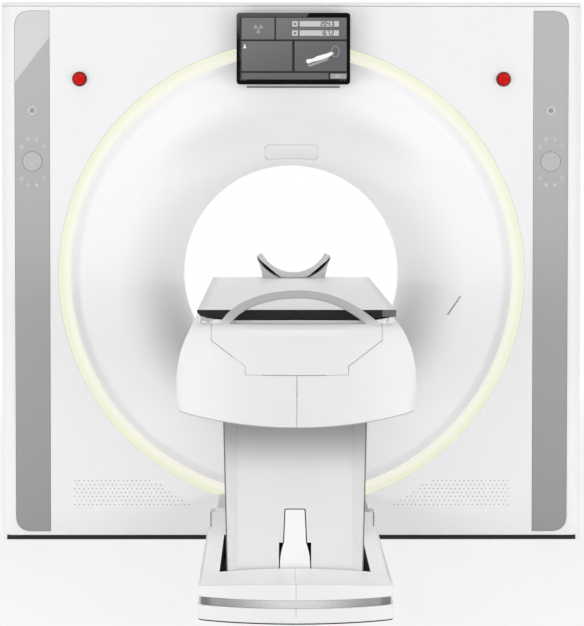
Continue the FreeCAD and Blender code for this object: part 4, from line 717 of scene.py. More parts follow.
def roll(turn, wall=0.0):
    """A point (radius, y) on the dish's rolled edge, from the flare at 0 to the throat at a quarter turn."""
    radius = FLARE_R - (FLARE_R - BORE_R - wall) * sin(turn)
    return radius, THROAT_Y - (THROAT_Y - STEP_Y - wall) * cos(turn)


def dish_front(radius):
    """How far back the dish's rolled edge lies at a radius."""
    share = (FLARE_R - radius) / (FLARE_R - BORE_R)
    return THROAT_Y - (THROAT_Y - STEP_Y) * sqrt(max(0.0, 1 - share * share))


dish = Form()
turns = spread(pi / 2, 32)
step = [(RING_INNER, RIM_Y + 3), (RING_INNER - 3, RIM_Y), (STEP_R + 4, STEP_Y - 1), (FLARE_R + 60, STEP_Y)]
profile = soften(step, 9.0, 6, closed=False) + [roll(turn) for turn in turns] + [(BORE_R, -36.0), (BORE_R + 4, -36.0)]
profile += [roll(turn, 4.0) for turn in reversed(turns[::4])] + [(STEP_R, STEP_Y + 4), (RING_INNER, RIM_Y + 10)]
dish.turned(profile, sides=160)
dish.make("dish_skin", "scanner", dish_white, "front_funnel", slot="dish")

lamp = Form()
crown_line = [(RING_OUTER - 38 * t, FACE - 2.0 * sin(pi * t) ** 0.5) for t in spread(1, 12)]
lamp.turned([(RING_OUTER, FACE + 6)] + crown_line + [(RING_INNER, FACE + 6)], sides=160)
lamp.make("ring_lamp", "scanner", ring_glow, "ring_light", slot="light_ring")

sleeve = Form()
sleeve.turned(soften([(BORE_R, -35.6), (BORE_R, 35.6), (BORE_R + 4, 35.6), (BORE_R + 4, -35.6)], 0.8, 2))
sleeve.make("scan_sleeve", "scanner", bore_white, "scan_window", slot="window")

mouth = Form()
flare = soften([(BORE_R, 36.4), (BORE_R, 270.0), (520.0, 424.5), (523.0, BACK)], 60.0, 10, closed=False)
mouth.turned(flare + [(523.8, BACK - 1), (523.8, 415.0), (354.0, 264.0), (354.0, 36.4)], sides=160)
mouth.make("rear_mouth", "scanner", bore_white, "rear_funnel", slot="dish")


def dish_patch(form, outline, centre, proud, edge, mark=0):
    """A thin pane that follows the dish behind an (x, z) outline."""
    cx, cz = centre
    shares = (1 - edge * 0.012, 0.66, 0.33, 0.02)
    rows = []
    for share, lift in [(1.0, -0.6), (1.0, proud - edge * 0.4)] + [(share, proud) for share in shares]:
        row = [(cx + (x - cx) * share, cz + (z - cz) * share) for x, z in outline]
        rows.append([(x, dish_front(hypot(x, z - ISO)) - lift, z) for x, z in row])
    form.sheet(rows, wrap=True, mark=mark)
    form.cap(rows[-1], mark)


def divided(outline, reach):
    """The same outline with its long sides cut into short ones."""
    made = []
    for a, b in zip(outline, outline[1:] + outline[:1]):
        parts = max(1, int(dist(a, b) / reach))
        made += [(a[0] + (b[0] - a[0]) * i / parts, a[1] + (b[1] - a[1]) * i / parts) for i in range(parts)]
    return made


def pane_outline(grow):
    """The upper window's outline, its lower side bowed up along the bore."""
    low, high, half = ISO + 368.5 - grow, ISO + 415.7 + grow, 84.7 + grow
    foot = [(x, low + 4.0 * (1 - (x / 84.7) ** 2)) for x in range(-68, 69, 8)]
    return divided(foot + soften([(half, low), (half, high), (-half, high), (-half, low)], 14.0, 6), 8.0)


panes = Form()
pane_centre = (0.0, ISO + 396)
dish_patch(panes, pane_outline(1.2), pane_centre, 0.25, 0.1, mark=1)
dish_patch(panes, pane_outline(0.0), pane_centre, 0.7, 0.5)
foot, head = Vector((499.6, 720.5)), Vector((541.0, 781.0))
along = (head - foot).normalized()
across = Vector((along.y, -along.x)) * 2.4
slot_line = [tuple(corner) for corner in (foot + across, head + across, head - across, foot - across)]
middle = tuple((foot + head) / 2)
# a pale frame round the laser slit: painted glints
dish_patch(panes, divided(drawn_in(slot_line, -2.4), 6.0), middle, 0.25, 0.1, mark=3)
dish_patch(panes, divided(soften(slot_line, 2.0, 3), 6.0), middle, 0.5, 0.3, mark=2)
panes.make("dish_panes", "scanner", [window_pane, pane_gap, slit_glass, liner_white], "dish_windows", slot="window")


# ---- control strips ----
KEY_OFFSETS = ((-34, 47), (-14, 70), (14, 70), (36, 47), (-34, -54), (-14, -75), (14, -75), (36, -54))
for side, word in SIDES:
    strip = Form()
    hole = circle(DISC_R + 0.6, side * DISC_X, DISC_Z, 64)
    strip.slab(strip_outline(side, -0.1), FACE, FACE + 3.0, 0.8, 3, hole=hole)
    strip.make(word + "_strip_glass", "scanner", strip_glass(word, side), word + "_control_strip", slot="strip_glass")

    disc = Form()
    section = [(0.0, -1.4), (14.0, -1.4), (17.0, -2.6), (28.0, -2.9), (DISC_R, -2.0), (DISC_R, 3.5)]
    section = soften(section, 1.6, 4, closed=False) + [(6.0, 3.5), (6.0, 17.0), (0.0, 17.0)]
    disc.turned([(r, FACE + y) for r, y in section], side * DISC_X, DISC_Z, 64, closed=False)
    for turn in range(4):
        a = pi / 2 * turn + pi / 4
        tip = Vector((cos(a), sin(a)))
        wing = Vector((-tip.y, tip.x)) * 3.6
        at = Vector((side * DISC_X, DISC_Z)) + tip * 20.0
        arrow = [tuple(at + tip * 4.0), tuple(at + wing - tip * 2.0), tuple(at - wing - tip * 2.0)]
        disc.slab(soften(arrow, 1.0, 2), FACE - 3.2, FACE - 2.0, 0.3, 2, mark=1)
    disc.make(word + "_disc_cap", word + "_disc", [disc_plastic, glyph_grey], word + "_control_disc", slot="disc_grey")

    keys = Form()
    section = soften([(0.0, FACE - 0.9), (6.6, FACE - 0.9), (8.6, FACE - 0.3), (8.6, FACE + 0.4)], 0.8, 2, closed=False)
    for number, (dx, dz) in enumerate(KEY_OFFSETS):
        x, z = side * DISC_X + dx, DISC_Z + dz
        keys.turned(section, x, z, 28, closed=False)
        if number % 2:
            keys.slab(box_about(x, z, 3.8, 0.8), FACE - 1.2, FACE - 0.5, 0.2, 1, mark=1)
        if number % 4 in (0, 1):
            keys.slab(box_about(x, z, 0.8, 3.8), FACE - 1.25, FACE - 0.5, 0.2, 1, mark=1)
        else:
            arrow = [(x - 3.4, z - 2.6), (x + 3.4, z - 2.6), (x, z + 3.4)]
            keys.slab(arrow, FACE - 1.2, FACE - 0.5, 0.2, 1, mark=1)
    keys.make(word + "_touch_keys", "scanner", [key_plastic, glyph_white], slot="disc_grey")

lens = Form()
section = [(7.5, FACE - 0.6), (8.5, FACE - 2.6), (14.0, FACE - 2.8), (16.0, FACE - 1.0), (16.0, FACE + 0.4)]
for side in (-1, 1):
    x = side * DISC_X
    lens.turned(soften(section, 1.2, 4, closed=False), x, LENS_Z, 40, closed=False)
    lens.turned([(0.0, FACE - 0.5), (7.6, FACE - 0.5)], x, LENS_Z, 40, closed=False, mark=1)
    # small near-black dots on the lens: painted shade standing for its speaker holes
    for hx, hz in circle(2.4, x, LENS_Z, 6) + circle(5.2, x, LENS_Z, 12):
        lens.slab(circle(0.65, hx, hz, 8), FACE - 0.62, FACE - 0.4, 0.05, 1, mark=2)
lens.make("intercom_rings", "scanner", [lens_plastic, grey_lens, dark_seal_and_shade], "intercom_lenses", slot="dark_plastic")


# ---- emergency stops ----
def arc(radius, x, z, first, last):
    turns = [first + (last - first) * share for share in spread(1, 6)]
    return [(x + radius * cos(a), z + radius * sin(a)) for a in turns]


section = [(0.0, -447.0), (6.0, -446.7), (12.0, -445.3), (17.0, -442.4), (20.0, -438.5), (20.0, -436.0),
           (18.6, -434.2), (8.0, -434.0), (8.0, -400.0), (0.0, -400.0)]
section = soften(section, 2.2, 4, closed=False)
collar_section = soften([(8.6, -425.0), (8.6, -428.4), (21.5, -429.0), (23.5, -427.6), (23.5, -425.0)], 0.8, 3)
collar = Form()
for side, word in SIDES:
    x = side * STOP_X
    head_form = Form()
    head_form.turned(section, x, STOP_Z, 56, closed=False)
    for number in range(3):
        a = 2 * pi * number / 3 + 0.4
        outline = arc(12.6, x, STOP_Z, a, a + 1.1) + arc(11.2, x, STOP_Z, a + 1.1, a)
        head_form.slab(outline, -445.9, -444.6, 0.1, 1, mark=1)
    head_form.make(word + "_stop_cap", word + "_stop", [stop_red, glyph_red], word + "_stop_head", slot="stop_red")
    collar.turned(collar_section, x, STOP_Z, 56)
collar.make("stop_rings", "scanner", dark_shell, "stop_collars", slot="dark_plastic")


# ---- monitor ----
MON_X, MON_Z, MON_FRONT = 5.0, 1568.0, -481.0
monitor = Form()
outline = soften(box_about(MON_X, MON_Z, 180.0, 113.0), 11.0, 6)
glass = soften(box_about(MON_X, MON_Z, 169.0, 99.0), 2.0, 2)
monitor.slab(outline, MON_FRONT, -443.0, 3.0, 4, hole=glass, rear_edge=5.0)
monitor.make("monitor_case", "scanner", bezel_gloss, "monitor_housing", slot="dark_plastic")

display = Form()
face_y = MON_FRONT + 1.2
display.slab(box_about(MON_X, MON_Z, 168.6, 98.6), face_y, face_y + 1.3, 0.2, 1)


def screen_shape(points, mark, layer=2):
    """A lit patch on the display, placed from the middle of the screen."""
    patch = [(MON_X + x, MON_Z + z) for x, z in points]
    display.slab(patch, face_y - 0.12 * layer, face_y + 0.05, 0.02, 1, mark=mark)


def screen_box(x0, x1, z0, z1, mark, layer=1):
    screen_shape(soften(rectangle(x0, x1, z0, z1), 1.2, 2), mark, layer)


# each figure's lit bars, and each bar's side and level
FIGURES = {"0": "abcdef", "1": "bc", "2": "abged", "3": "abgcd", "4": "fgbc", "6": "afgedc", "7": "abc"}
BARS = dict(a=(0, 2), b=(1, 1.5), c=(1, 0.5), d=(0, 0), e=(-1, 0.5), f=(-1, 1.5), g=(0, 1))


def digits(text, x, z, height, mark):
    """Seven-bar figures, placed by their left foot."""
    half = height / 4
    weight = height * 0.09
    for figure in text:
        if figure == ".":
            screen_shape(rectangle(x - weight, x + weight, z, z + 2 * weight), mark, 3)
            x += height * 0.3
            continue
        for side, level in [BARS[bar] for bar in FIGURES[figure]]:
            bx, bz = x + half + side * half, z + level * height / 2
            wide, tall = (weight, half) if side else (half, weight)
            screen_shape(box_about(bx, bz, wide, tall), mark, 3)
        x += height * 0.82


LEAF = ((5, -0.5), (5, 0.5), (15, 0.5), (15, 0.25), (15, 0), (15, -0.25), (15, -0.5))
PATIENT = ((40, -41), (46, -48), (61, -42), (89, -35), (111, -27), (129, -16), (121, -9), (108, -15),
           (75, -24), (61, -32), (42, -34))
for cell in ((-164, -60, 29, 97), (-55, 168, 29, 97), (-164, -4, -71, 23), (4, 168, -71, 23), (-164, 111, -97, -77)):
    screen_box(*cell, 1)
screen_box(117, 168, -95, -79, 2)
for low in (69.5, 40.5):
    screen_box(20, 144, low, low + 17, 3, 2)
    screen_box(-4, 14, low, low + 17, 3, 2)
    screen_box(1, 9, low + 5, low + 11, 1, 3)
digits("204.3", 87, 71.8, 12.4, 0)
digits("167.2", 87, 42.8, 12.4, 0)
for blade in range(3):
    a = 2 * pi * blade / 3 - pi / 2
    leaf = [(-111 + radius * cos(a + share), 63 + radius * sin(a + share)) for radius, share in LEAF]
    screen_shape(leaf, 2)
screen_shape(circle(3, -111, 63, 16), 2)
digits("120", 128, -91, 8, 3)
screen_shape([(-159, 1), (-149, 1), (-152, 8), (-156, 8)], 4)
screen_shape(circle(2.6, -154, 10.5, 12), 4)
screen_shape(soften([(44, -52), (50, -58), (111, -36), (111, -28)], 3.0, 2), 2)
screen_shape(soften(PATIENT, 3.0, 3), 4, 3)
hoops = [oval(MON_X + 133, MON_Z - 9, width, height) for width, height in ((12.5, 18.0), (10.5, 16.0))]
display.panel(hoops, lambda x, z: (x, face_y - 0.4, z), mark=2)
display_finishes = [display_dark, display_cell, display_mid, display_light, display_white]
display.make("display_panel", "scanner", display_finishes, "monitor_screen", slot="screen", weighted=False)

# small dark discs low on the front cover, painted shade standing for small holes, each with a short bore behind, in
# staggered rows that step along the ring
holes = Form()
VENT_START, VENT_PITCH = 693.0, 14.036
VENTS = ((18, 190.0), (20, 177.0), (21, 164.5), (22, 152.0), (24, 139.5), (25, 126.5), (27, 113.5))
for side in (-1, 1):
    for row, (count, z) in enumerate(VENTS):
        for number in range(count):
            x = side * (VENT_START - VENT_PITCH * (number + row % 2 / 2))
            ring = circle(1.7, x, z, 8)
            rows = [[(px, y, pz) for px, pz in ring] for y in (FACE - 0.12, FACE + 2.0)]
            holes.cap(rows[0])
            holes.sheet(rows, wrap=True)
holes.make("vent_holes", "scanner", gap_shade, slot="dark_plastic", weighted=False)


# ---- table base ----
def plan_ring(half, front, nose, corner, rear, bow_steps=20, corner_steps=8, seam=0.0):
    """A plan outline as (x, y): from the rear up the left side, round the bowed front and down the right side."""
    centre = front + nose
    corner_x = half - corner
    swing = asin(corner_x / (nose - corner))
    corner_y = centre - (nose - corner) * cos(swing)
    right = []
    for a in spread(pi / 2 - swing, corner_steps):
        right.append((corner_x + corner * sin(swing + a), corner_y - corner * cos(swing + a)))
    left = [(-x, y) for x, y in reversed(right)]
    bow = []
    for step in range(1, bow_steps):
        a = swing * (2 * step / bow_steps - 1)
        place = (nose * sin(a), centre - nose * cos(a))
        bow += [(-seam, place[1]), (seam, place[1])] if seam and 2 * step == bow_steps else [place]
    return [(-half, rear)] + left + bow + right + [(half, rear)]


BASE_HALF, BASE_NEAR, BASE_FAR, CROWN_R, BASE_TOP = 260.0, -2284.0, -835.0, 2260.0, 104.0
BASE_NOSE, BASE_CORNER = 430.0, 45.0
WELL_HALF, WELL_NEAR, WELL_FAR, WELL_FLOOR = 206.0, -1938.0, -1085.0, 24.0
BAND_LOW, BAND_HIGH = 42.0, 63.0


def base_plan(inset, rear, slim=0.0, seam=0.0):
    front = BASE_NEAR + inset
    return plan_ring(BASE_HALF - inset - slim, front, BASE_NOSE - inset, BASE_CORNER - inset, rear, seam=seam)


def crown(x, y):
    """The base's upper surface: crowned across, and a little higher towards its front edge."""
    rise = min(1.0, max(0.0, (WELL_NEAR - y) / (WELL_NEAR - BASE_NEAR)))
    return BASE_TOP - CROWN_R + sqrt(CROWN_R ** 2 - x * x) + 3.5 * rise


def base_wall(form, levels, rear, mark=0):
    """Walls of the base's plan: rows at (inset, height) levels, heights given as a call on (x, y) where crowned."""
    rows = []
    for inset, height in levels:
        ring = base_plan(inset, rear, seam=0.3)
        rows.append([(x, y, height(x, y) if callable(height) else height) for x, y in ring])
    form.sheet(rows, mark=mark, gap=len(rows[0]) // 2 - 1)
    return rows


base = Form()
low = [(4.0, 3.4), (1.2, 3.4), (0.0, 4.6), (0.0, 39.5), (0.8, 41.2), (2.5, BAND_LOW), (10.0, BAND_LOW)]
base_wall(base, low, BASE_FAR)
edge = 5.0
high = [(10.0, BAND_HIGH), (2.5, BAND_HIGH), (0.8, 64.2), (0.0, 66.5), (0.0, lambda x, y: crown(x, y) - edge)]
base_wall(base, high, BASE_FAR)
turns = spread(pi / 2, 5)
bend = [(edge * (1 - cos(a)), lambda x, y, a=a: crown(x, y) - edge + edge * sin(a)) for a in turns]
rows = base_wall(base, bend, BASE_FAR)
rim = [(min(max(x, -255.0), 255.0), y) for x, y, _ in rows[-1][1:-1]]
middle_gap = len(rim) // 2 - 1


def top_sheet(x_and_starts, y_to, steps=1, gap=None):
    """Part of the base's top, from each (x, y) back to y_to."""
    rows = []
    for t in spread(1, steps):
        at = [(x, y + (y_to - y) * t) for x, y in x_and_starts]
        rows.append([(x, y, crown(x, y)) for x, y in at])
    base.sheet(rows, mark=2, gap=gap)


top_sheet(rim, WELL_NEAR, 8, middle_gap)
left_of_well = [x for x, _ in rim if x < -WELL_HALF] + [-WELL_HALF]
right_of_well = [WELL_HALF] + [x for x, _ in rim if x > WELL_HALF]
for part in (left_of_well, right_of_well):
    top_sheet([(x, WELL_NEAR) for x in part], WELL_FAR)
top_sheet([(x, WELL_FAR) for x, _ in rim], BASE_FAR, gap=middle_gap)
# the well's walls and floor, near-black: painted shade
for x in (-WELL_HALF, WELL_HALF):
    ends = (WELL_NEAR, WELL_FAR)
    base.sheet([[(x, y, crown(x, y)) for y in ends], [(x, y, WELL_FLOOR) for y in ends]], mark=1)
across_x = (-WELL_HALF, -100.0, 0.0, 100.0, WELL_HALF)
for y in (WELL_NEAR, WELL_FAR):
    base.sheet([[(x, y, crown(x, y)) for x in across_x], [(x, y, WELL_FLOOR) for x in across_x]], mark=1)
base.sheet([[(x, y, WELL_FLOOR + 2.0) for y in (WELL_NEAR, WELL_FAR)] for x in (-WELL_HALF, WELL_HALF)], mark=1)
for low, high in ((3.0, BAND_LOW), (BAND_HIGH, 89.0)):
    base.sheet([[(-BASE_HALF, BASE_FAR, z), (BASE_HALF, BASE_FAR, z)] for z in (low, high)])
# a dark foot strip round the base, which also paints its contact shadow
base_wall(base, [(2.4, 0.2), (2.4, 3.5)], BASE_FAR + 2, mark=1)
base_finishes = [white_table, dark_seal_and_shade, white_top]
base.make("base_shell", "scanner", base_finishes, "base_cover_left", "base_cover_right", slot="cover")

band = Form()
rows = []
for inset, height in ((7.0, 42.2), (4.6, 42.6), (4.0, 43.5), (4.0, 61.5), (4.6, 62.4), (7.0, 62.8)):
    rows.append([(x, y, height) for x, y in base_plan(inset, BASE_FAR - 10, slim=4.0)])
band.sheet(rows)
band.make("silver_band", "scanner", band_metal, "base_trim", slot="trim_silver")


# ---- shroud ----
# the tabletop's lower edge as (x, z), which the shroud's lip follows
UNDER = ((-255.0, 828.5), (-253.2, 823.6), (-246.0, 819.0), (-233.0, 815.6), (-213.0, 812.2), (-188.0, 809.8),
         (-150.0, 807.5), (188.0, 807.5), (207.0, 811.0), (225.0, 814.4), (248.0, 816.4), (253.5, 819.5),
         (255.0, 824.0))
# the shroud's height, half width and front edge, from its rim up
LEVELS = ((536.0, 300.0, -2528.0), (578.0, 305.0, -2534.0), (622.0, 310.0, -2539.0), (670.0, 308.5, -2540.0),
          (719.0, 300.0, -2538.0), (750.0, 289.0, -2533.0), (775.0, 277.0, -2524.0), (790.0, 266.0, -2514.0),
          (798.0, 256.0, -2500.0))
SHROUD_NOSE, SHROUD_CORNER, SHROUD_FAR, SHROUD_TOP = 420.0, 90.0, -600.0, 798.0
RIM_MIDDLE, RIM_R = 1954.0, 1417.0


def between_levels(z, column):
    """The shroud's half width (1) or front edge (2) at a height, smoothly through its levels."""
    z = min(max(z, LEVELS[0][0]), LEVELS[-1][0])
    index = 0
    while index < len(LEVELS) - 2 and z > LEVELS[index + 1][0]:
        index += 1

    def slope(k):
        low, high = max(k - 1, 0), min(k + 1, len(LEVELS) - 1)
        return (LEVELS[high][column] - LEVELS[low][column]) / (LEVELS[high][0] - LEVELS[low][0])

    a, b = LEVELS[index], LEVELS[index + 1]
    span = b[0] - a[0]
    t = (z - a[0]) / span
    h = (2 * t ** 3 - 3 * t ** 2 + 1, t ** 3 - 2 * t ** 2 + t, -2 * t ** 3 + 3 * t ** 2, t ** 3 - t ** 2)
    return h[0] * a[column] + h[1] * span * slope(index) + h[2] * b[column] + h[3] * span * slope(index + 1)


def shroud_ring(z, inset=0.0):
    half, near = between_levels(z, 1) - inset, between_levels(z, 2) + inset
    return plan_ring(half, near, SHROUD_NOSE - inset, SHROUD_CORNER - inset, SHROUD_FAR, 36, 12)


def rim_height(x):
    return RIM_MIDDLE - sqrt(RIM_R ** 2 - x * x)


def lip_height(x):
    """The top of the lip round the shroud's opening, close under the tabletop."""
    for (x0, z0), (x1, z1) in zip(UNDER, UNDER[1:]):
        if x0 <= 0.97 * x <= x1:
            return z0 + (z1 - z0) * (0.97 * x - x0) / (x1 - x0) - 0.9 - abs(x) / 230


OPEN_HALF, OPEN_NEAR = 250.0, -2438.0
shroud = Form()
guide = [x for x, _ in shroud_ring(560.0)]
rows = []
for t in spread(1, 34):
    heights = [rim_height(x) + (SHROUD_TOP - rim_height(x)) * (1 - (1 - t) ** 1.25) for x in guide]
    rows.append([(*shroud_ring(z)[i], z) for i, z in enumerate(heights)])
flat = [(x, y, SHROUD_TOP + 0.6) for x, y in shroud_ring(SHROUD_TOP, 4.0)]
rows.append(flat)
for share, lift in ((0.4, 0.0), (0.78, 0.08), (0.92, 0.35), (1.0, 1.0)):
    row = []
    for x, y, z in flat:
        ix, iy = min(max(x, -OPEN_HALF), OPEN_HALF), max(y, OPEN_NEAR)
        row.append((x + (ix - x) * share, y + (iy - y) * share, z + (lip_height(ix) - z) * lift))
    rows.append(row)
rows.append([(x, y, SHROUD_TOP - 12.0) for x, y, _ in row])
shroud.sheet(rows)

PANEL = ((-131.0, 672.0), (131.0, 672.0), (131.0, 694.0), (218.0, 757.0), (218.0, 830.0), (-218.0, 830.0),
         (-218.0, 757.0), (-131.0, 694.0))
GAP = 0.8
FRONT_ZONE = -2330.0          # the seams lie before this


def seam_distance(x, z):
    """How far a point (x, z) is inside the inset panel's outline; less than 0 is outside."""
    nearest = 1e9
    inside = False
    for a, b in zip(PANEL, PANEL[1:] + PANEL[:1]):
        start, run = Vector(a), Vector(b) - Vector(a)
        t = min(1.0, max(0.0, (Vector((x, z)) - start).dot(run) / run.length_squared))
        nearest = min(nearest, (Vector((x, z)) - start - run * t).length)
        if (a[1] > z) != (b[1] > z) and x < a[0] + (z - a[1]) / (b[1] - a[1]) * (b[0] - a[0]):
            inside = not inside
    return nearest if inside else -nearest


def split_by_seams(form):
    """The shroud's skin cut along its seams: the left half, the right half and the inset panel."""
    work = bmesh.new()
    corners = [work.verts.new(p) for p in form.points]
    for face in form.faces:
        if len({form.points[i] for i in face}) > 2:
            work.faces.new([corners[i] for i in face])
    bmesh.ops.remove_doubles(work, verts=work.verts, dist=MERGE)
    cuts = [((0.0, 600.0), (1.0, 0.0))]
    for a, b in zip(PANEL, PANEL[1:] + PANEL[:1]):
        run = (Vector(b) - Vector(a)).normalized()
        cuts.append((a, (-run.y, run.x)))
    for (x, z), (nx, nz) in cuts:
        for shift in (-GAP, GAP):
            point = Vector((x + nx * shift, 0.0, z + nz * shift))
            geometry = [e for e in work.edges if e.verts[0].co.y < FRONT_ZONE]
            geometry += [f for f in work.faces if f.calc_center_median().y < FRONT_ZONE]
            geometry += [v for v in work.verts if v.co.y < FRONT_ZONE]
            bmesh.ops.bisect_plane(work, geom=geometry, dist=0.01, plane_co=point, plane_no=Vector((nx, 0.0, nz)))
    parts = {"left": Form(), "right": Form(), "panel": Form()}
    for face in work.faces:
        centre = face.calc_center_median()
        depth = seam_distance(centre.x, centre.z) if centre.y < FRONT_ZONE else -2 * GAP
        if abs(depth) < GAP or depth < 0 and abs(centre.x) < GAP:
            continue
        word = "panel" if depth > 0 else "left" if centre.x < 0 else "right"
        parts[word].add([v.co for v in face.verts], [tuple(range(len(face.verts)))])
    work.free()
    return parts


skins = split_by_seams(shroud)
middle = (0.0, -1500.0, 660.0)
names = {
    "left": ("shroud_skin_left", "shroud_left"), "right": ("shroud_skin_right", "shroud_right"),
    "panel": ("inset_skin", "shroud_inset_panel"),
}
for word, (name, node) in names.items():
    skins[word].make(name, "table_upper", shroud_paint, node, slot="cover", thick=4.0, outward_from=middle)


# ---- handle ----
HANDLE_Y = -2447.0
HANDLE_LEFT = ((-190.0, 786.0), (-160.0, 850.0), (-75.0, 873.0), (8.0, 873.0))
HANDLE_RIGHT = ((8.0, 873.0), (80.0, 873.0), (143.0, 845.0), (208.0, 786.0))


def curve(points, t):
    """A place on a cubic curve, and the unit direction across it."""
    a, b, c, d = [Vector(p) for p in points]
    place = a * (1 - t) ** 3 + b * 3 * t * (1 - t) ** 2 + c * 3 * t * t * (1 - t) + d * t ** 3
    run = ((b - a) * (1 - t) ** 2 + (c - b) * 2 * t * (1 - t) + (d - c) * t * t).normalized()
    return place, Vector((-run.y, run.x))


bar = Form()
section = soften(box_about(0.0, 0.0, 10.0, 12.0), 5.0, 4)
stations = [(HANDLE_LEFT, t, 1 - t) for t in spread(1, 24)[:-1]] + [(HANDLE_RIGHT, t, t) for t in spread(1, 24)]
rows = []
for points, t, towards_foot in stations:
    place, over = curve(points, t)
    swell = 1 + 0.22 * towards_foot ** 2
    rows.append([(place.x + over.x * r * swell, HANDLE_Y + d, place.y + over.y * r * swell) for r, d in section])
bar.loft(rows)
bar.make("arch_handle", "table_upper", handle_paint, "handle", slot="handle_grey")


# ---- tabletop ----
NEAR, FAR, HALF_TOP, TABLE_TOP = -2433.0, -182.0, 255.0, 833.0
slab = Form()
upper_edge = [(HALF_TOP, TABLE_TOP - 6), (HALF_TOP, TABLE_TOP), (-HALF_TOP, TABLE_TOP), (-HALF_TOP, TABLE_TOP - 6)]
outline = list(UNDER[7:]) + soften(upper_edge, 2.2, 5, closed=False)[1:-1] + list(UNDER[:7])
levels = rounding(NEAR, 1.5, 3) + rounding(FAR, 1.5, 3, -1)
rows = rows_at(outline, levels)
for j in range(len(rows) - 1):
    for i in range(len(outline)):
        k = (i + 1) % len(outline)
        upper = (outline[i][1] + outline[k][1]) / 2 > TABLE_TOP - 2.5
        slab.add([rows[j][i], rows[j][k], rows[j + 1][k], rows[j + 1][i]], [(0, 1, 2, 3)], 0 if upper and j > 2 else 1)
slab.cap(rows[0], 1)
slab.cap(rows[-1], 1)
slab.make("tabletop_skin", "patient_top", [top_skin, dark_shell], "tabletop", slot="tabletop_skin")

catch = Form()
catch.slab(soften(rectangle(219.0, 254.6, 815.2, 832.6), 1.5, 2), NEAR - 2.5, NEAR + 1.0, 1.0, 2)
catch.make("end_catch", "patient_top", grey_catch, slot="handle_grey")


# ---- head rest ----
REST_X, REST_Z, REST_R = 8.0, 962.0, 116.3
REST_NEAR, REST_FAR = -273.0, -75.0


def trough(form, inner, outer, swing, floor, y0, y1, edge):
    """A curved band of the head rest, with rounded tips and ends, flattened where it meets the tabletop."""
    middle_r, half = (inner + outer) / 2, (outer - inner) / 2
    bend = edge / middle_r
    section = [(a - swing + bend, 1.0) for a in spread(2 * (swing - bend), 40)]
    ends = [(swing - bend * (1 - sin(a)), cos(a)) for a in spread(pi / 2, 5)[1:-1]]
    section = [(-a, share) for a, share in reversed(ends)] + section + ends
    loop = [(a, half * share) for a, share in section] + [(a, -half * share) for a, share in reversed(section)]
    rows = []
    for y, inset in rounding(y0, edge, 4) + rounding(y1, edge, 4, -1):
        thin = 1 - inset / max(half, edge)
        narrow = 1 - inset / (middle_r * swing)
        row = []
        for a, r in [(a * narrow, middle_r + r * thin) for a, r in loop]:
            row.append((REST_X + r * sin(a), y, max(REST_Z - r * cos(a), floor + 0.6 * (outer - r))))
        rows.append(row)
    form.sheet(rows, wrap=True)
    for row in (rows[0], rows[-1]):
        upper, lower = row[: len(section)], row[len(section):][::-1]
        form.sheet([upper, lower])


def rest_arc(radius, first, last, side):
    """Points along the head rest's curve on one side, from one angle to another."""
    turns = [radians(first + turn) for turn in spread(last - first, 10)]
    return [(REST_X + side * radius * sin(a), max(REST_Z - radius * cos(a), TABLE_TOP)) for a in turns]


pad = Form()
trough(pad, REST_R, REST_R + 14.2, radians(63.4), TABLE_TOP + 2.5, REST_NEAR + 1, REST_FAR - 1, 2.0)
pad_piece = pad.make("head_pad", "patient_top", pad_cover, "head_rest_pad", slot="pad", sharp=60)
shell = Form()
trough(shell, REST_R + 14.8, REST_R + 17.8, radians(63.2), TABLE_TOP + 0.3, REST_NEAR, REST_FAR, 0.5)
for side in (-1, 1):
    foot = [(43, TABLE_TOP), (101, TABLE_TOP), (104, 852), (109, 872), (115.5, 890), (119.5, 899)]
    foot = [(REST_X + side * x, z) for x, z in foot] + rest_arc(REST_R + 17.0, 62.4, 17.5, side)
    line = rest_arc(REST_R + 14.4, 21.0, 57.0, side) + rest_arc(REST_R + 17.2, 57.0, 21.0, side)
    shell.slab(soften(foot[::side], 2.0, 3), REST_NEAR, REST_NEAR + 84.0, 1.5, 3, mark=1, rear_edge=1.5)
    shell.slab(line[::side], REST_NEAR - 0.8, REST_NEAR + 5.0, 0.3, 1, mark=2)
shell.make("head_trough", "patient_top", [grey_rest, grey_rest, rest_line], "head_rest_shell", slot="dark_plastic")


# ---- carried-over solids and their finishes ----
CARRIED = {
    bracket_paint: "monitor_bracket", column_paint: "column_front_panel column_rear_cover", duct_paint: "duct_cover",
    dark_plinth: "gantry_floor_frame table_floor_frame", dark_shell: "switch_blocks brush_block",
    liner_white: "notch_post", belt_rubber: "slide_belt",
    frame_paint: "stator_frame balance_weights lift_outer_tube lift_actuator upper_frame slide_motor",
    rotor_paint: "rotor_drum xray_tube collimator detector_arc hv_generator cooling_unit",
    plain_steel: "lift_inner_tube lift_rod guide_rails slide_pulley support_roller carriage",
}
for finish, node_names in CARRIED.items():
    for node in node_names.split():
        for material_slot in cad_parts[node].material_slots:
            material_slot.material = finish.material


# ---- floor, light and camera ----
def floor_finish():
    """White to the camera, so that the floor ends nowhere, and still taking the machine's shadow."""
    finish = Finish("floor_paint", grey(0.96, 0.0), 0.6)
    tree = finish.tree
    seen = finish.node("ShaderNodeLightPath", out="Is Camera Ray")
    white = tree.nodes.new("ShaderNodeEmission")
    mix = tree.nodes.new("ShaderNodeMixShader")
    x, y, _ = finish.axes()
    far = ((x * x + y * y) ** 0.5).between(3.0, 7.0)
    tree.links.new((seen * (0.7 + 0.3 * far)).socket, mix.inputs[0])
    tree.links.new(finish.shader.outputs[0], mix.inputs[1])
    tree.links.new(white.outputs[0], mix.inputs[2])
    tree.links.new(mix.outputs[0], tree.nodes["Material Output"].inputs["Surface"])
    return finish


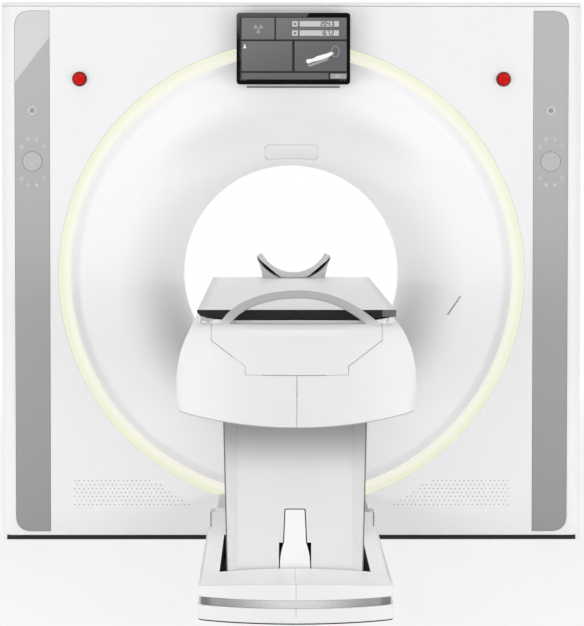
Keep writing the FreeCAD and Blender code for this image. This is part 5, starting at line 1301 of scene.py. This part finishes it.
REACH = 30.0
mesh = bpy.data.meshes.new("floor")
mesh.from_pydata([(x, y, 0.0) for x, y in rectangle(-REACH, REACH, -REACH, REACH)], [], [(0, 1, 2, 3)])
mesh.materials.append(floor_finish().material)
made = placed("floor", mesh)

world = bpy.data.worlds.new("studio")
scene.world = world
world.use_nodes = True
nodes, links = world.node_tree.nodes, world.node_tree.links
dimmer, full = nodes["Background"], nodes.new("ShaderNodeBackground")
for background, strength in ((dimmer, 0.68), (full, 1.0)):
    background.inputs["Color"].default_value = (1.0, 1.0, 1.0, 1.0)
    background.inputs["Strength"].default_value = strength
kinds = ("ShaderNodeLightPath", "ShaderNodeMath", "ShaderNodeMixShader")
path, either, choose = [nodes.new(kind) for kind in kinds]
either.operation = "MAXIMUM"
links.new(path.outputs["Is Camera Ray"], either.inputs[0])
links.new(path.outputs["Is Glossy Ray"], either.inputs[1])
for number, output in enumerate((either, dimmer, full)):
    links.new(output.outputs[0], choose.inputs[number])
links.new(choose.outputs[0], nodes["World Output"].inputs["Surface"])


def softbox(name, place, aim, size, watts, shine=False):
    """A lamp seen only in reflections where shine is set, and otherwise only as diffuse light."""
    light = bpy.data.lights.new(name, "AREA")
    light.shape = "RECTANGLE"
    light.size, light.size_y = size
    light.energy = watts
    lamp_piece = placed(name, light)
    lamp_piece.location = place
    lamp_piece.visible_glossy = shine
    lamp_piece.visible_diffuse = not shine
    lamp_piece.rotation_euler = (Vector(aim) - Vector(place)).to_track_quat("-Z", "Y").to_euler()


softbox("front_box", (-0.3, -8.8, 1.9), (0.0, 0.0, 0.7), (5.0, 1.9), 66.0)
for side in (-1, 1):
    softbox("side_box", (side * 3.4, -3.4, 0.8), (side * 0.1, -1.3, 0.1), (1.6, 1.0), 36.0)
softbox("shine_box", (0.0, -4.6, 4.4), (0.0, -2.2, 0.5), (5.0, 1.6), 60.0, shine=True)

FOCAL, PHOTO_WIDTH, SENSOR = 3157.8, 584.0, 36.0          # pixels, pixels and millimetres
eye = Vector((-0.0651, -10.5013, 1.2163))
yaw, pitch, tilt = radians(0.378), radians(-2.777), radians(-0.026)
ahead = Vector((sin(yaw) * cos(pitch), cos(yaw) * cos(pitch), sin(pitch)))
right = ahead.cross(Vector((0, 0, 1))).normalized()
up = right.cross(ahead)
right, up = right * cos(tilt) - up * sin(tilt), up * cos(tilt) + right * sin(tilt)
camera_data = bpy.data.cameras.new("camera")
camera_data.sensor_fit = "HORIZONTAL"
camera_data.sensor_width = SENSOR
camera_data.lens = FOCAL / PHOTO_WIDTH * SENSOR
camera_data.clip_end = 100.0
camera = placed("camera", camera_data)
turn = Matrix((right, up, -ahead)).transposed().to_4x4()
camera.matrix_world = Matrix.Translation(eye) @ turn
scene.camera = camera
scene.view_settings.view_transform = "Standard"
